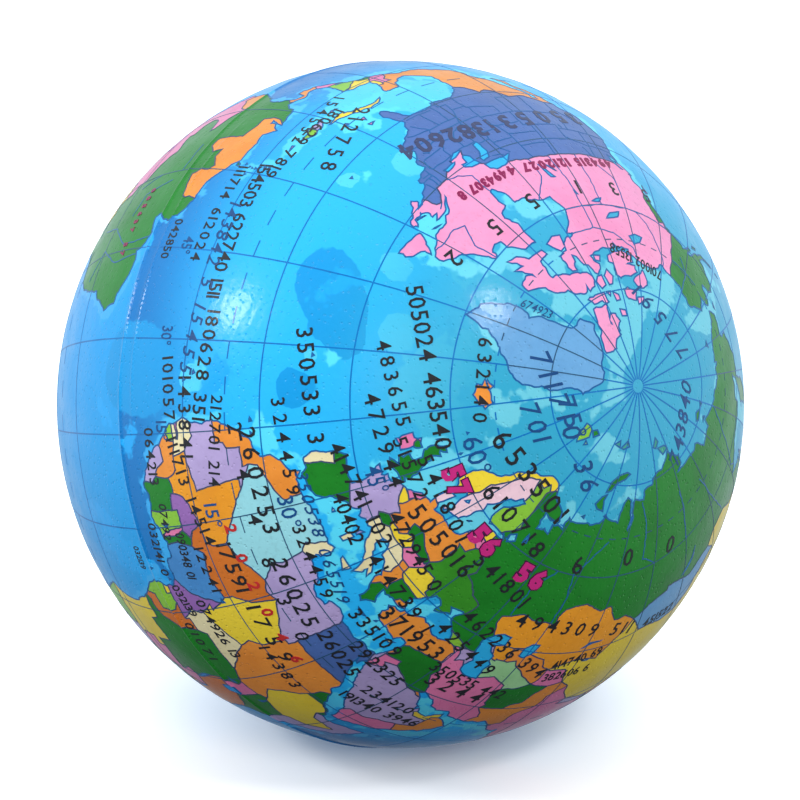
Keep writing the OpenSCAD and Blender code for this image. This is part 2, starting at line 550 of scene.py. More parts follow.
EURASIA = """25.8,71.1 28.6,70.9 31,70.3 33.3,69.4 37.5,68.6 41.2,67.2 40.4,66.3 36.5,66.3 33.2,66.7 34.8,65
35.5,64.3 38,64.5 38.4,64.9 40.5,64.7 40.2,65.8 42.2,66.5 44.3,66.1 44,67.2 43.8,68.4 46.2,67.7 48,67.7
53,68.5 55,68.2 59,68.9 60.9,69.8 64.8,69.3 67,69.1 66.8,70.7 68.5,72.2 69.6,73 72.5,72.8 72,71 73.2,69.7
73.8,67.7 74.3,68.9 74.2,71 73.8,72.3 75,72.8 77.7,72.5 80.4,72.3 80.6,73.6 86.5,74.2 87.5,75.1 93,76
99.5,76.4 104.2,77.7 107.5,76.8 112.8,75.8 111.8,74.3 106.5,73.3 109.8,73.6 113.4,73.6 118.2,73.2 123.4,73
126.5,73.5 128.8,72 130,71 134,71.6 139.5,71.6 141,72.7 146,72.4 149.8,71.7 153,70.9 157.5,71 160.2,69.8
164.5,69.6 168,69.8 170.4,69.1 171,70.1 176,69.7 180.5,68.9 184.5,67.4 190.2,66.1 187.4,64.5 184.2,64.9
180.5,65.5 178.8,64.7 179.4,62.8 175.5,61.9 170.5,60 166.5,60 163.6,59.6 162.6,57.9 163,56.5 161.8,55
160,53.2 158,51.7 156.7,51.1 155.7,54 156,57 158.7,58.5 162.5,60.7 163.8,62.4 160.3,61.8 156.6,61.2
154.7,59.5 151,59.2 147,59.3 142.2,59 138,56.2 135.4,54.7 137.5,53.8 140.9,53.2 141,51.5 140.3,49
138.5,46.8 136,44.6 133,42.8 130.8,42.4 129.8,41 127.6,39.6 128.3,38.4 129.5,36.8 129,35.3 126.5,34.5
126.5,36.5 125.3,37.9 124.6,39.5 121.8,39 122,40.4 119.5,39.6 117.8,38.8 119.2,37.2 122.3,37.2 120.2,35.8
119.5,34.6 121.5,32.3 121.8,30.8 121.7,28.7 119.6,25.8 117,23.6 113.8,22.3 110.5,21.3 108.3,21.7
106.5,20.3 105.8,18.6 108.3,16 109.3,13 108.8,11.3 106.8,10.3 105.2,8.7 104.8,10.4 103,11.2 101,12.7
100.3,13.4 99.3,10.2 100.6,7.4 102.7,6 103.5,4 104,1.4 102.8,2 101.2,3.3 100.4,5.8 98.5,8 98.7,10.8
97.7,14 97.4,16.5 95.5,15.8 94.4,16.6 93.8,19.3 91.8,22.3 90.4,22.2 88,21.7 86.8,20.9 84.8,19.2 82.3,16.8
80.4,15.7 80.2,13 79.8,10.3 78.2,8.8 77.5,8.1 76,10.8 74.4,14.6 73,18 72.7,20.8 70.9,20.8 69,22.3
68,23.8 66.4,25.3 61.7,25.2 57.6,25.7 56.7,27.1 54.4,26.6 52.6,27.5 50.9,29 48.8,30.2 48,29.5 49.3,27.6
50.2,26.4 50.7,25 51.3,26 51.6,24.7 54,24.2 55.8,25.6 56.4,26.2 56.5,24.5 58.6,23.6 59.8,22.4 58.2,20.2
57,18.8 54.8,17 52,15.6 48.7,14.1 45.2,12.9 43.4,12.7 42.8,15.4 42.3,17 40.3,19.8 39,21.8 37.2,24.8
35.4,27.9 34.9,29.4 34.3,27.8 33.2,28.7 32.6,29.9 33.4,28 34.2,26.4 35.6,24 37.2,21.4 37.3,19 38.6,17.8
39.6,15.3 41.6,13.5 43.2,12 43,11.3 44.6,10.5 47.5,11.2 51.2,11.9 50.8,9.2 49,6 47,3.4 44.2,1.3 42.3,-0.6
40.2,-2.6 39,-4.8 39.5,-7.5 40.5,-10.7 40.6,-14.5 38.2,-17.2 35.6,-19 34.8,-20.5 35.5,-23.5 32.8,-25.8
32.5,-28.5 30,-31.3 27,-33.6 22.5,-34.1 19.8,-34.7 18.3,-33.6 18,-31.5 15.7,-27.8 14.5,-23 11.9,-17.5
13.6,-12.5 13.2,-9 12.1,-5.8 9.5,-2.5 8.8,-0.7 9.6,1.2 9.8,3.4 8.7,4.5 7.2,4.4 5.6,4.9 4.6,6.2 2.4,6.4
-0.2,5.4 -2.2,4.8 -4.6,5.2 -7.4,4.4 -9.4,5.6 -11.4,6.9 -13.1,8.4 -13.6,9.6 -15,10.9 -16.7,12.2 -16.8,13.6
-17.4,14.7 -16.5,16.2 -16.2,19 -17,21 -16,23.6 -14.6,26 -13.2,27.6 -11.3,28.5 -9.9,29.8 -9.6,31.3
-8.3,33.3 -6.5,34.3 -5.9,35.8 -4.8,35.3 -2.9,35.3 -1.2,35.7 1,36.4 5,36.8 8.5,37 10.1,37.2 11,36.9
10.6,35.8 11.1,35 10.1,34 11.2,33.1 13.5,32.8 15.4,32.3 15.8,31.2 18.2,30.4 20,30.9 20.1,32.3 22,32.8
23.3,32.4 25.2,31.6 28.8,30.9 30.6,31.4 32.4,31.2 34.3,31.4 35,32.8 35.9,34.8 36,36.7 34.6,36.6
33.6,36.1 32.4,36.1 30.7,36.8 29.3,36.3 27.6,36.9 26.6,38.2 26.7,39.2 26.2,39.6 27.4,40.3 29,40.5
29.2,41 31.2,41.1 33.2,42 35.2,42 36.8,41.3 39.5,41 41.5,41.5 41.2,42.7 39,44 37.4,44.8 38.2,46.2
39,47.1 37,46.9 35,46.2 36.4,45.3 34.4,44.7 33.6,44.5 33,45.7 31.8,46.3 30.6,46.4 29.6,45.2 28.6,43.8
27.7,42.6 28.1,41.7 28.9,41.2 27.6,40.9 26.2,40.6 24.4,40.8 23.9,40.1 22.7,40.4 23,39.2 24,38.2 23.2,37.3
22.8,36.5 21.6,36.8 21.3,37.8 21,38.7 19.5,40.3 19.4,41.8 17.6,42.9 15.5,43.9 14.6,45 13.7,45.6 12.3,45.3
12.6,44.1 14.2,42.5 16.1,41.8 17.9,40.9 18.4,40 17,40.5 16.9,39.2 16,38 15.8,39.6 14.5,40.7 12.4,41.7
10.6,42.9 9,44.4 7.5,43.8 5.8,43.1 3.9,43.5 3.1,42.3 0.9,41 -0.3,39.5 0.1,38.7 -0.7,37.7 -2.2,36.8
-4.5,36.7 -5.5,36.1 -6.5,37 -8.9,37 -9.4,38.7 -8.8,40.8 -8.9,42.7 -7.8,43.7 -4,43.5 -1.7,43.4 -1.3,45.6
-2.4,47.2 -4.6,48 -4.5,48.7 -1.7,48.7 -1.7,49.7 0.2,49.6 1.6,50.8 3.6,51.5 4.8,53 7.2,53.6 8.8,54
8.2,55.6 8.4,57 10.5,57.6 10.4,56.2 9.8,55 11,54 13.6,54.4 16.5,54.5 18.7,54.7 20.4,55.1 21.1,56.8
22.6,57.6 24.2,57.2 24.3,58.4 23.5,59.1 28,59.6 29.8,59.9 28.6,60.6 25,60.2 22.6,60 21.3,61 21.5,62.8
24.8,64.9 25,65.6 22.4,65.8 21.4,64.6 18.2,62.6 17.2,61 18.8,59.9 17,58.6 16.4,56.7 14.4,55.6 12.9,55.6
11.9,57.4 11.1,59 10.4,59.3 8.2,58.2 5.7,58.8 5.1,60.6 6.2,62.5 9.8,64 12.4,66 14.6,68 17.8,69.4 21.5,70.2"""

ISLANDS = {
    "greenland": """-43.9,59.9 -46,60.7 -48.5,61.4 -50.8,63.3 -52,64.6 -53.7,66.6 -53.4,68.2 -51,69.2
-53.6,70.2 -54.7,71.3 -55.6,73 -58.3,75.4 -62,76.2 -68,76.1 -71,77 -72.6,78.2 -66,79.3 -65,80.6
-61,81.8 -54,82.3
-46,82.7 -38,83.3 -30,83.6 -23,82.8 -17,81.3 -16,80.3 -19.5,79.4 -19.3,77.2 -18.6,75.4 -21,74.2 -20.6,73
-22.3,72 -22.2,70.3 -25,69.2 -30,68.2 -33.5,67.3 -37,66 -40,65 -41,63 -42.8,61""",
    "baffin": """-64.8,61.7 -68.3,62.5 -72,63.8 -77,64.2 -78.2,65 -74.2,65.4 -73,66.8 -73,68.2 -77,69.2
-79.6,70 -84.5,69.9 -89,70.6 -90,72 -88.8,73.6 -85,73.8 -84.4,72.6 -81,73.6 -77,72.9 -74.5,71.8
-71,71 -68,69.8
-67.2,68.6 -64,67.6 -61.6,66.8 -62.4,65.6 -65.6,65 -67.8,66.4 -66,64.4 -64.6,63.4 -68,63.9 -66,62.7""",
    "victoria": """-102,69.3 -106,69.1 -109.5,68.7 -113.3,68.5 -116.3,69.2 -116.8,70.2 -113,70.6 -117.5,70.8
-118.4,72 -115,73 -111,72.6 -107.5,73.3 -105,72.8 -104.5,71.2 -101.7,70.2""",
    "banks": """-124.6,71.9 -122.8,71.2 -120.6,71.7 -117.5,73 -115.6,73.6 -119,74.3 -122.5,74.4
-124.6,73.7 -125.6,72.8""",
    "prince": "-96.6,72.3 -99.5,71.4 -102,72.7 -100,73.9 -97.6,73.9",
    "somerset": "-90.6,72.8 -92.5,72.1 -95.2,72.1 -95.3,73.8 -92,74.1",
    "devon": "-80,74.6 -86,74.5 -92,74.7 -92.2,76.2 -89.6,76.5 -87,75.6 -81.5,75.8",
    "ellesmere": """-79.2,76.2 -84,76.4 -89.6,76.4 -87.5,78 -86,79.5 -91,80.6 -91.7,81.6 -85,82.3 -77,83.1
-68,83.1 -61.5,82.4 -66,81.2 -71,79.9 -75,78.9 -76,77.9""",
    "axel": "-88.5,78.2 -93,78.6 -96,79.8 -94,81.2 -90,81 -87,80 -86.5,79",
    "melville": "-105.8,75.1 -111,74.6 -116.5,75.2 -115,76.4 -109.5,76.7 -107,76",
    "bathurst": "-97.8,75.1 -101.5,75.7 -102,76.6 -98.5,76.6",
    "cornwallis": "-93.6,74.7 -96.4,74.9 -95.3,75.6",
    "ringnes": "-99,78 -104,78.3 -104.5,79.2 -99.5,79.1",
    "patrick": "-116.5,76.2 -122,75.9 -122.3,76.8 -117.5,77.3",
    "william": "-95.8,68.6 -99,69 -97.8,69.9 -95.7,69.5",
    "southampton": "-80.4,63.8 -84,63.2 -87.1,63.6 -86,65.7 -83.6,66 -81.6,64.8",
    "newfoundland": """-59.3,47.8 -58.7,48.7 -57.3,50.6 -55.6,51.5 -56,50.2 -53.7,49.3 -52.8,47.7 -53.6,46.7
-55.8,46.9""",
    "vancouver": "-123.4,48.4 -125.3,48.9 -128.2,50.6 -126.6,50.6 -124.2,49.3",
    "charlotte": "-131.2,52.2 -132.8,53.6 -131.8,54 -131.4,53",
    "kodiak": "-152.2,58.2 -154.3,57.4 -154.2,56.8 -152.4,57.4",
    "anticosti": "-61.8,49.1 -64.3,49.8 -62.5,49.5",
    "edward": "-62,46.2 -64.1,46.8 -63,46.3",
    "unalaska": "-166.4,54 -168.5,53.1 -166.8,53.4",
    "lawrence": "-168.8,63.2 -171.6,63.4 -170.2,63.8",
    "cuba": """-84.9,21.9 -83.4,22.9 -81.2,23.1 -79,22.5 -77,21.7 -75.5,21 -74.2,20.3 -77.6,19.9 -77.4,20.7
-79.6,21.6 -82,22.4 -83.6,22.2""",
    "hispaniola": "-74.4,18.4 -72.7,19.8 -70.4,19.9 -68.5,18.6 -70.4,18.3 -71.7,17.8",
    "jamaica": "-78.3,18.3 -76.4,18.2 -77.2,17.8",
    "puerto": "-67.2,18.4 -65.7,18.3 -67.1,17.9",
    "trinidad": "-61.9,10.1 -61.4,10.8 -60.9,10.8 -61.1,10.1",
    "bahama_a": "-78.4,24.2 -78,25.2 -77.6,24.2", "bahama_b": "-78.6,26.5 -77.4,26.9 -77.2,26.2",
    "bahama_c": "-75.5,23.4 -74.8,23 -75.3,22.8",
    "guadeloupe": "-61.8,16 -61.6,16.5 -61.1,16.2", "martinique": "-61.2,14.4 -61,14.9 -60.8,14.5",
    "dominica": "-61.5,15.2 -61.4,15.7 -61.2,15.4", "lucia": "-61.1,13.7 -60.9,14.1 -60.8,13.8",
    "vincent": "-61.3,13 -61.1,13.4 -61,13.1", "grenada": "-61.8,12 -61.6,12.3 -61.5,12",
    "barbados": "-59.7,13 -59.6,13.4 -59.3,13.1", "antigua": "-62,17 -61.8,17.3 -61.5,17",
    "bermuda": "-65,32.1 -64.6,32.5 -64.4,32.1",
    "azores_a": "-28.7,38.4 -28.2,38.8 -27.9,38.4", "azores_b": "-25.8,37.7 -25.3,37.9 -25.2,37.6",
    "canary_a": "-16.9,28.2 -16.3,28.6 -16.2,28", "canary_b": "-14.4,28.1 -13.8,28.8 -13.7,28.3",
    "verde_a": "-25.1,16.9 -24.6,17.3 -24.4,16.8", "verde_b": "-23.8,14.9 -23.5,15.4 -23.3,14.9",
    "iceland": """-24.2,65.5 -22.2,66.4 -20.8,65.6 -18,66.1 -16,66.5 -13.8,65.3 -15,64.3 -18.6,63.4 -22.4,63.9
-22,64.6 -23.9,64.9 -21.8,65.4""",
    "britain": """-5.6,50.1 -3.6,50.3 1.2,51 1.4,51.4 0.6,51.5 1.7,52.6 0.3,53 0.1,53.6 -1.3,54.8 -2,56
-3.2,56 -1.9,57.5 -4,57.7 -3.1,58.6 -5,58.6 -5.9,57.3 -5.5,56.2 -5.2,55.3 -3.2,54.9 -3,53.5
-4.5,53.2 -4.1,52.3
-5.1,51.8 -3,51.5 -4.4,51""",
    "ireland": "-6.1,53.4 -6.4,52.2 -9.7,51.5 -9.6,53 -10,54.2 -8.2,54.6 -8.1,55.2 -6.1,55.2 -5.6,54.4",
    "hebrides": "-7.2,57.4 -6.9,58.2 -6.3,58.3 -6.8,57.8",
    "shetland": "-1.5,60 -1.2,60.7 -0.9,60.4", "faroe": "-7.1,61.9 -6.7,62.3 -6.4,62",
    "sicily": "12.5,38 15.5,38.2 15.2,36.8 12.8,37.5", "sardinia": "8.3,40.8 9.6,41.1 9.6,39.2 8.5,39",
    "corsica": "8.7,42.4 9.4,43 9.4,41.6 8.9,41.6", "crete": "23.6,35.5 26.2,35.3 24.7,34.9",
    "cyprus": "32.4,35 34.5,35.6 33.6,34.8", "majorca": "2.4,39.6 3.2,39.9 3.2,39.3",
    "rhodes": "27.7,35.9 28.2,36.4 28.2,36", "zealand": "11.1,55.5 12.5,56 12.2,55.1",
    "gotland": "18.2,57.2 19,57.9 18.7,57.4", "saaremaa": "22,58.3 23.2,58.6 22.6,58.1",
    "svalbard": "13.8,77.8 11,79.6 15,79.9 18,79.8 21.5,78.8 17.5,76.8",
    "svalbard_east": "19,79.8 22,80.5 27,80.2 24,79.3", "edge": "21.5,78.1 24.5,77.9 22.5,77.4",
    "josef_a": "45.5,80.5 51,81.4 52.5,80.4", "josef_b": "54,80.4 60,81.7 63,80.9 57,80.3",
    "zemlya_south": "51.8,71.4 54,70.8 57.6,70.7 55.7,72.3 56.5,73.4 53.8,72.8",
    "zemlya_north": "55,73.5 58,74 60.5,75.2 66,76 69,76.8 66,77 60,76.4 56,75.2",
    "kolguev": "48.5,69 49.6,69.3 50,68.8", "vaygach": "59,69.9 60.3,70.3 60.3,69.8",
    "severnaya_a": "91,80 96,81.2 98,80.4 94,79.6", "severnaya_b": "96,79.5 103,79.2 105,78.4 99.5,78",
    "siberian_a": "137.5,75.4 142,76 145.5,75.2 139,74.8", "siberian_b": "146.5,75.2 150.5,75.4 149.5,74.8",
    "siberian_c": "139.8,73.5 142.5,73.9 143.5,73.3", "wrangel": "178.6,71 180.5,71.6 182.4,71.2",
    "sakhalin": "142,46 143.5,49.2 144.4,49 143.2,51.6 142.6,54.3 142,52 142.2,49",
    "hokkaido": "140,41.6 140.6,43.3 142,45.4 145,43.6 143.2,42",
    "honshu": """131,34.2 132.6,35.4 136,35.8 137,37.3 139.4,38.2 140.2,41.2 141.5,41.2 141.9,39.2 140.8,36
139,34.8 136,33.6 134.6,34.6""",
    "kyushu": "129.8,33 131,33.9 131.8,32.8 130.6,31.2", "shikoku": "132.4,33.4 134.4,34.3 133.6,33.3",
    "taiwan": "120.1,23 121.4,25.2 121.9,24.8 120.9,22",
    "hainan": "108.7,19.2 110.3,20 110.8,19.4 109.4,18.3",
    "luzon": "120.4,16 120.8,18.5 122.2,18.4 121.6,15.8 123.8,13.2 121.2,13.8",
    "mindanao": "122,7.4 123.4,8.6 125.5,9.7 126.4,7.4 125.4,5.7 124,7",
    "visayas": "122,11.5 124.8,12.4 125.2,10.4 123,9.4 122.6,10.6", "palawan": "117.3,8.4 119.5,11.2 119,10",
    "borneo": """109,1.6 111.4,2.4 113.2,3.4 115.5,5.4 117,7 119,5.2 117.6,3 118.8,1 117.4,0 116.2,-3
114.6,-4 111.8,-3.4 110.2,-2.6 109,-0.4""",
    "sumatra": """95.4,5.5 97.8,5.2 100.4,2.6 103.6,0.2 104.6,-2 106,-3.4 105.8,-5.8 102.4,-4
100,-0.8 98.4,1.8""",
    "java": "105.3,-6.8 108.4,-6.6 112.6,-6.9 114.4,-8 114.2,-8.7 108.6,-7.8",
    "sulawesi": """119.4,-5.4 120.4,-3 119.4,-2.8 119.8,0.4 121,1.2 125,1.6 124.2,0.4 120.4,0.4 121.2,-1
123,-0.8 121.6,-2 122.6,-4.4 121.4,-4.4 120.6,-2.8 120.4,-5.6""",
    "timor": "123.6,-10.3 126.8,-8.4 125.4,-9.4", "flores": "118.8,-8.6 122.8,-8.2 120,-9",
    "halmahera": "127.6,0.2 128,2 128.6,1 128.2,-0.6", "ceram": "128,-3.2 130.6,-3 129,-3.5",
    "guinea": """131,-0.8 134,-0.8 135,-3.2 138,-1.6 141,-2.6 144.6,-3.9 147.8,-6 147.2,-7 150.6,-10.4
147.6,-10 144,-7.8 141,-9.1 138,-8.4 138,-7 135.4,-4.4 133,-4 133.8,-2.4""",
    "britain_new": "148.4,-5.6 150,-5.4 152,-4.2 151.4,-5.6 149.4,-6.2", "solomon": "155,-6 157,-7.4 156,-7",
    "australia": """113.6,-22.6 114,-26.4 115.8,-31.8 115.2,-34.2 118.2,-35 121,-33.8 124,-33 129,-31.8
131.6,-31.6 134.4,-33 136,-34.6 137.8,-32.8 138.2,-35.4 140,-37.6 143.4,-38.8 146.4,-39 150,-37.4
151.2,-33.8 153.2,-30 153.4,-26.6 151.6,-24 149.4,-21.6 146.4,-19 145.6,-15.6 143.8,-14 142.5,-10.8
141.6,-13.6 140.6,-17.4 138.6,-16.6 135.6,-14.8 136.8,-12.2 132.6,-11.4 130.2,-13.2 128.4,-14.8
126,-14 123.6,-17 121.6,-18.6 117.4,-20.8""",
    "tasmania": "144.8,-40.8 148.3,-41 147.8,-43.2 146,-43.4",
    "zealand_n": "172.8,-34.6 174.8,-36.6 178.4,-37.8 176.8,-39.8 175.2,-41.6 173.8,-39.4 174.8,-38",
    "zealand_s": "172.8,-40.7 174.2,-41.8 172.4,-43.8 170.6,-45.9 168.6,-46.6 166.6,-45.8 170,-43.2",
    "madagascar": "43.4,-22 44.4,-19.6 44.2,-16.4 47.6,-14.8 49.3,-12.2 50.4,-15.8 49,-19 47,-25 45,-25.4",
    "ceylon": "79.8,8 80.4,9.6 81.6,8 81.2,6.5 80.1,6.1",
    "socotra": "53.4,12.4 54.4,12.6 54,12.3", "bahrain": "50.4,26 50.6,26.3 50.7,25.9",
    "hawaii": "-156,19.8 -155.4,20.2 -154.9,19.5 -155.7,19.1", "maui": "-157,21 -156.4,20.9 -156.4,20.6",
    "caledonia": "164.2,-20.2 166.8,-22.2 165.6,-21.8", "fiji": "177.4,-18 178.6,-17.6 178.2,-18.2",
    "falkland": "-61,-51.8 -58,-51.4 -59.4,-52.2", "georgia": "-38,-54 -36,-54.6 -37.4,-54.5",
    "bioko": "8.5,3.3 8.8,3.8 8.9,3.3", "tome": "6.5,0.1 6.7,0.4 6.8,0.1",
    "reunion": "55.2,-21 55.8,-20.9 55.6,-21.4",
    "antarctica": """-58,-63.4 -62,-66 -66,-69 -73,-73 -86,-73.4 -100,-72.6 -114,-74 -128,-74 -142,-75.4
-155,-77.4 -165,-78.4 -180,-78 167,-77.6 164,-74 171,-71.6 160,-69.6 146,-67.4 130,-66.4 112,-66 96,-66.4
84,-67 76,-69.8 68,-68.4 56,-66.6 44,-68 30,-69.4 14,-70 0,-70 -10,-71.4 -24,-75.4 -36,-78.2 -50,-77.8
-60,-74.6 -61,-69 -58.6,-65.2""",
}

LAKES = {
    "superior": "-92,46.7 -90.3,47.9 -88.4,48.6 -86,48.6 -84.8,47.7 -84.7,46.6 -87.4,46.6 -89.6,46.9",
    "michigan": "-87.7,41.8 -86.5,42.2 -86.4,43.8 -85.2,45 -85.2,45.9 -87,45.8 -87.8,44.6 -87.8,43",
    "huron": "-82.4,43.1 -81.7,43.6 -81.5,44.8 -80.2,44.6 -80.2,45.3 -81.6,46 -84,46 -83.4,45 -83.6,44",
    "erie": "-83.3,41.8 -81.4,41.7 -79,42.8 -80.8,42.7 -82.6,42.2",
    "ontario": "-79.7,43.3 -76.4,43.5 -76.6,44.2 -79.2,43.8",
    "winnipeg": "-96.6,50.5 -97,51.8 -97.8,53.6 -98.9,53.8 -98,52.3 -97.3,51",
    "manitoba": "-98.4,50.5 -99.3,51.6 -100.4,52.8 -99.8,51.6",
    "athabasca": "-106.6,59.3 -109.2,58.8 -111,58.6 -109.4,59.6",
    "slave": "-109.4,62.7 -112.2,61.5 -116.4,61 -115.2,62.2 -112,62.5",
    "bear": "-117.8,65.6 -121,65 -124.6,65.2 -123,66.2 -119.6,66.9",
    "reindeer": "-102,56.7 -102.8,57.8 -102,57.6",
    "nicaragua": "-85.9,12 -85.2,11.2 -84.8,11.5",
    "salt": "-112.5,41.6 -112.1,40.8 -111.9,41.2",
    "titicaca": "-70,-15.4 -68.8,-16.4 -69.4,-15.6",
    "caspian": """47.5,44.6 49,46.2 51,46.9 53,46.8 53,45.2 51.2,44.5 50.3,44.4 51.4,43.2 52.8,42.5 52.8,41.2
53.8,40.6 53.6,39 54,37 51.4,36.7 49.2,37.5 48.9,38.8 49.6,40.3 48.4,41.9""",
    "aral": "58.3,43.8 58.3,45.5 59.6,46.5 61.6,46.6 61.2,44.8 59.6,43.5",
    "balkhash": "73.6,45.6 75.4,46.8 79,46.7 75.6,46.4",
    "baikal": "103.9,51.5 107.8,53.6 109.6,55.7 108.2,53.2 106,51.9",
    "ladoga": "31,59.9 32.8,60.6 31.6,61.6 30.3,60.9", "onega": "35,61 36.2,61.4 35,62.6",
    "vanern": "12.6,58.5 13.9,58.8 13.2,59.3",
    "victoria_lake": "31.8,-1 32,0.3 33.8,0.3 34.1,-1 33.2,-2.5 31.8,-2.5",
    "tanganyika": "29.3,-3.4 29.5,-6 30.9,-8.7 30.3,-6", "malawi": "34,-9.7 34.4,-12 34.6,-14.2 35,-12",
    "chad_lake": "13.4,13 14.4,13.4 14.2,12.8", "turkana": "36,2.6 36.2,4.4 36.5,3",
    "volta": "-0.4,6.6 -0.4,8.2 0,7.4", "issyk": "76.4,42.3 78.2,42.6 77.6,42.2",
    "rudolf_small": "29.4,1.2 30.8,2.2 30.6,1.6",
}

